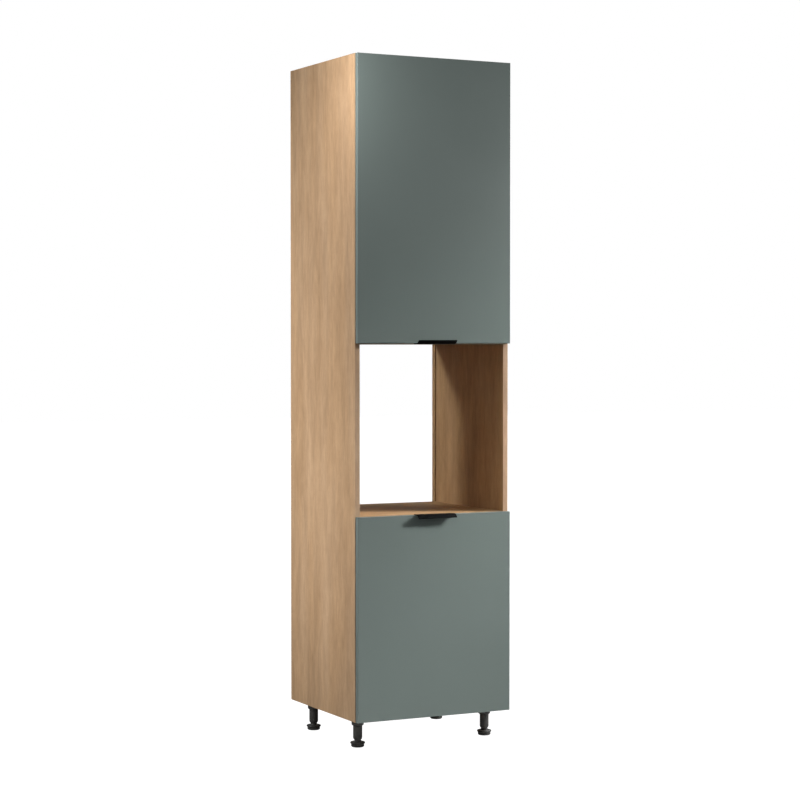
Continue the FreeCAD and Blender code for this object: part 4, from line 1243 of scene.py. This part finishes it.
def make_floor(stage):
    """A wide pale floor that stays bright and takes only a soft shade."""
    reach = 30.0
    drop = 0.0005
    bm = bmesh.new()
    bmesh.ops.create_grid(bm, x_segments=8, y_segments=8, size=reach)
    mesh = bpy.data.meshes.new("studio_floor")
    bm.to_mesh(mesh)
    bm.free()
    floor = linked("studio_floor", mesh)
    floor.location.z = -drop
    material, nodes, coords = new_material("pale_floor")
    cloud = nodes.noise(coords["Object"], 0.8, detail=2.0)
    dull = [stage.floor_bounce * part for part in stage.floor_colour]
    colour = nodes.blend(cloud, opaque(dull), opaque(dull, 0.99))
    matt = nodes.add("ShaderNodeBsdfDiffuse", {"Color": colour}).outputs[0]
    white = opaque(PLAIN_TINT)
    glow = nodes.add("ShaderNodeEmission", {"Color": white, "Strength": stage.floor_glow}).outputs[0]
    seen = nodes.add("ShaderNodeLightPath").outputs["Is Camera Ray"]
    share = nodes.math("MULTIPLY", seen, 0.8)
    mixed = nodes.add("ShaderNodeMixShader", {0: share, 1: matt, 2: glow}).outputs[0]
    nodes.add("ShaderNodeOutputMaterial", {"Surface": mixed})
    mesh.materials.append(material)


def make_world(scene, stage):
    """Even fill light; the backdrop itself shows white."""
    world = bpy.data.worlds.new("studio")
    world.use_nodes = True
    world.node_tree.nodes.clear()
    nodes = Nodes(world.node_tree)
    seen = nodes.add("ShaderNodeLightPath").outputs["Is Camera Ray"]
    strength = nodes.span(seen, 0.0, 1.0, stage.fill_strength, 1.0)
    sky = nodes.add("ShaderNodeBackground", {"Color": opaque(PLAIN_TINT), "Strength": strength}).outputs[0]
    nodes.add("ShaderNodeOutputWorld", {"Surface": sky})
    scene.world = world


def add_area_light(name, power, lamp):
    """A square light that points at its target and isn't seen itself."""
    light = bpy.data.lights.new(name, "AREA")
    light.size = lamp.size
    light.energy = power
    item = linked(name, light)
    item.location = lamp.place
    aim = Vector(lamp.target) - Vector(lamp.place)
    item.rotation_euler = aim.to_track_quat("-Z", "Y").to_euler()
    item.visible_camera = False
    return light


def add_camera(scene, stage):
    """The camera, level apart from its pitch, at its place on the stage."""
    camera = bpy.data.cameras.new("studio_camera")
    camera.sensor_width = SENSOR_WIDTH
    camera.lens = stage.camera_lens
    camera.clip_start = 0.1
    camera.clip_end = 100.0
    item = linked("studio_camera", camera)
    item.location = stage.camera_place
    item.rotation_euler = (math.radians(90) - stage.camera_pitch, 0.0, -stage.camera_yaw)
    scene.camera = item


STEPS = (
    CABINET_OT_boards,
    CABINET_OT_bands,
    CABINET_OT_backs,
    CABINET_OT_fronts,
    CABINET_OT_handles,
    CABINET_OT_legs,
    CABINET_OT_hinges,
    CABINET_OT_fittings,
    CABINET_OT_stage,
)


class CABINET_PT_tools(bpy.types.Panel):
    """Lists the steps that dress the cabinet"""

    bl_idname = "CABINET_PT_tools"
    bl_label = "Tall Kitchen Cabinet"
    bl_space_type = "VIEW_3D"
    bl_region_type = "UI"
    bl_category = "Cabinet"

    def draw(self, context):
        for step in STEPS:
            self.layout.operator(step.bl_idname)
        for group in ("cabinet_finish", "cabinet_detail", "cabinet_stage"):
            settings = getattr(context.scene, group)
            box = self.layout.box()
            for name in settings.__annotations__:
                box.prop(settings, name)


CLASSES = (CabinetFinish, CabinetDetail, CabinetStage, *STEPS, CABINET_PT_tools)


def register():
    for item in CLASSES:
        bpy.utils.register_class(item)
    bpy.types.Scene.cabinet_finish = bpy.props.PointerProperty(type=CabinetFinish)
    bpy.types.Scene.cabinet_detail = bpy.props.PointerProperty(type=CabinetDetail)
    bpy.types.Scene.cabinet_stage = bpy.props.PointerProperty(type=CabinetStage)


def unregister():
    del bpy.types.Scene.cabinet_stage
    del bpy.types.Scene.cabinet_detail
    del bpy.types.Scene.cabinet_finish
    for item in reversed(CLASSES):
        bpy.utils.unregister_class(item)


def main():
    register()
    make_shared_groups()
    bpy.ops.cabinet.boards()
    bpy.ops.cabinet.bands()
    bpy.ops.cabinet.backs()
    bpy.ops.cabinet.fronts()
    bpy.ops.cabinet.handles()
    bpy.ops.cabinet.legs()
    bpy.ops.cabinet.hinges()
    bpy.ops.cabinet.fittings()
    bpy.ops.cabinet.stage()


if __name__ == "__main__":
    main()
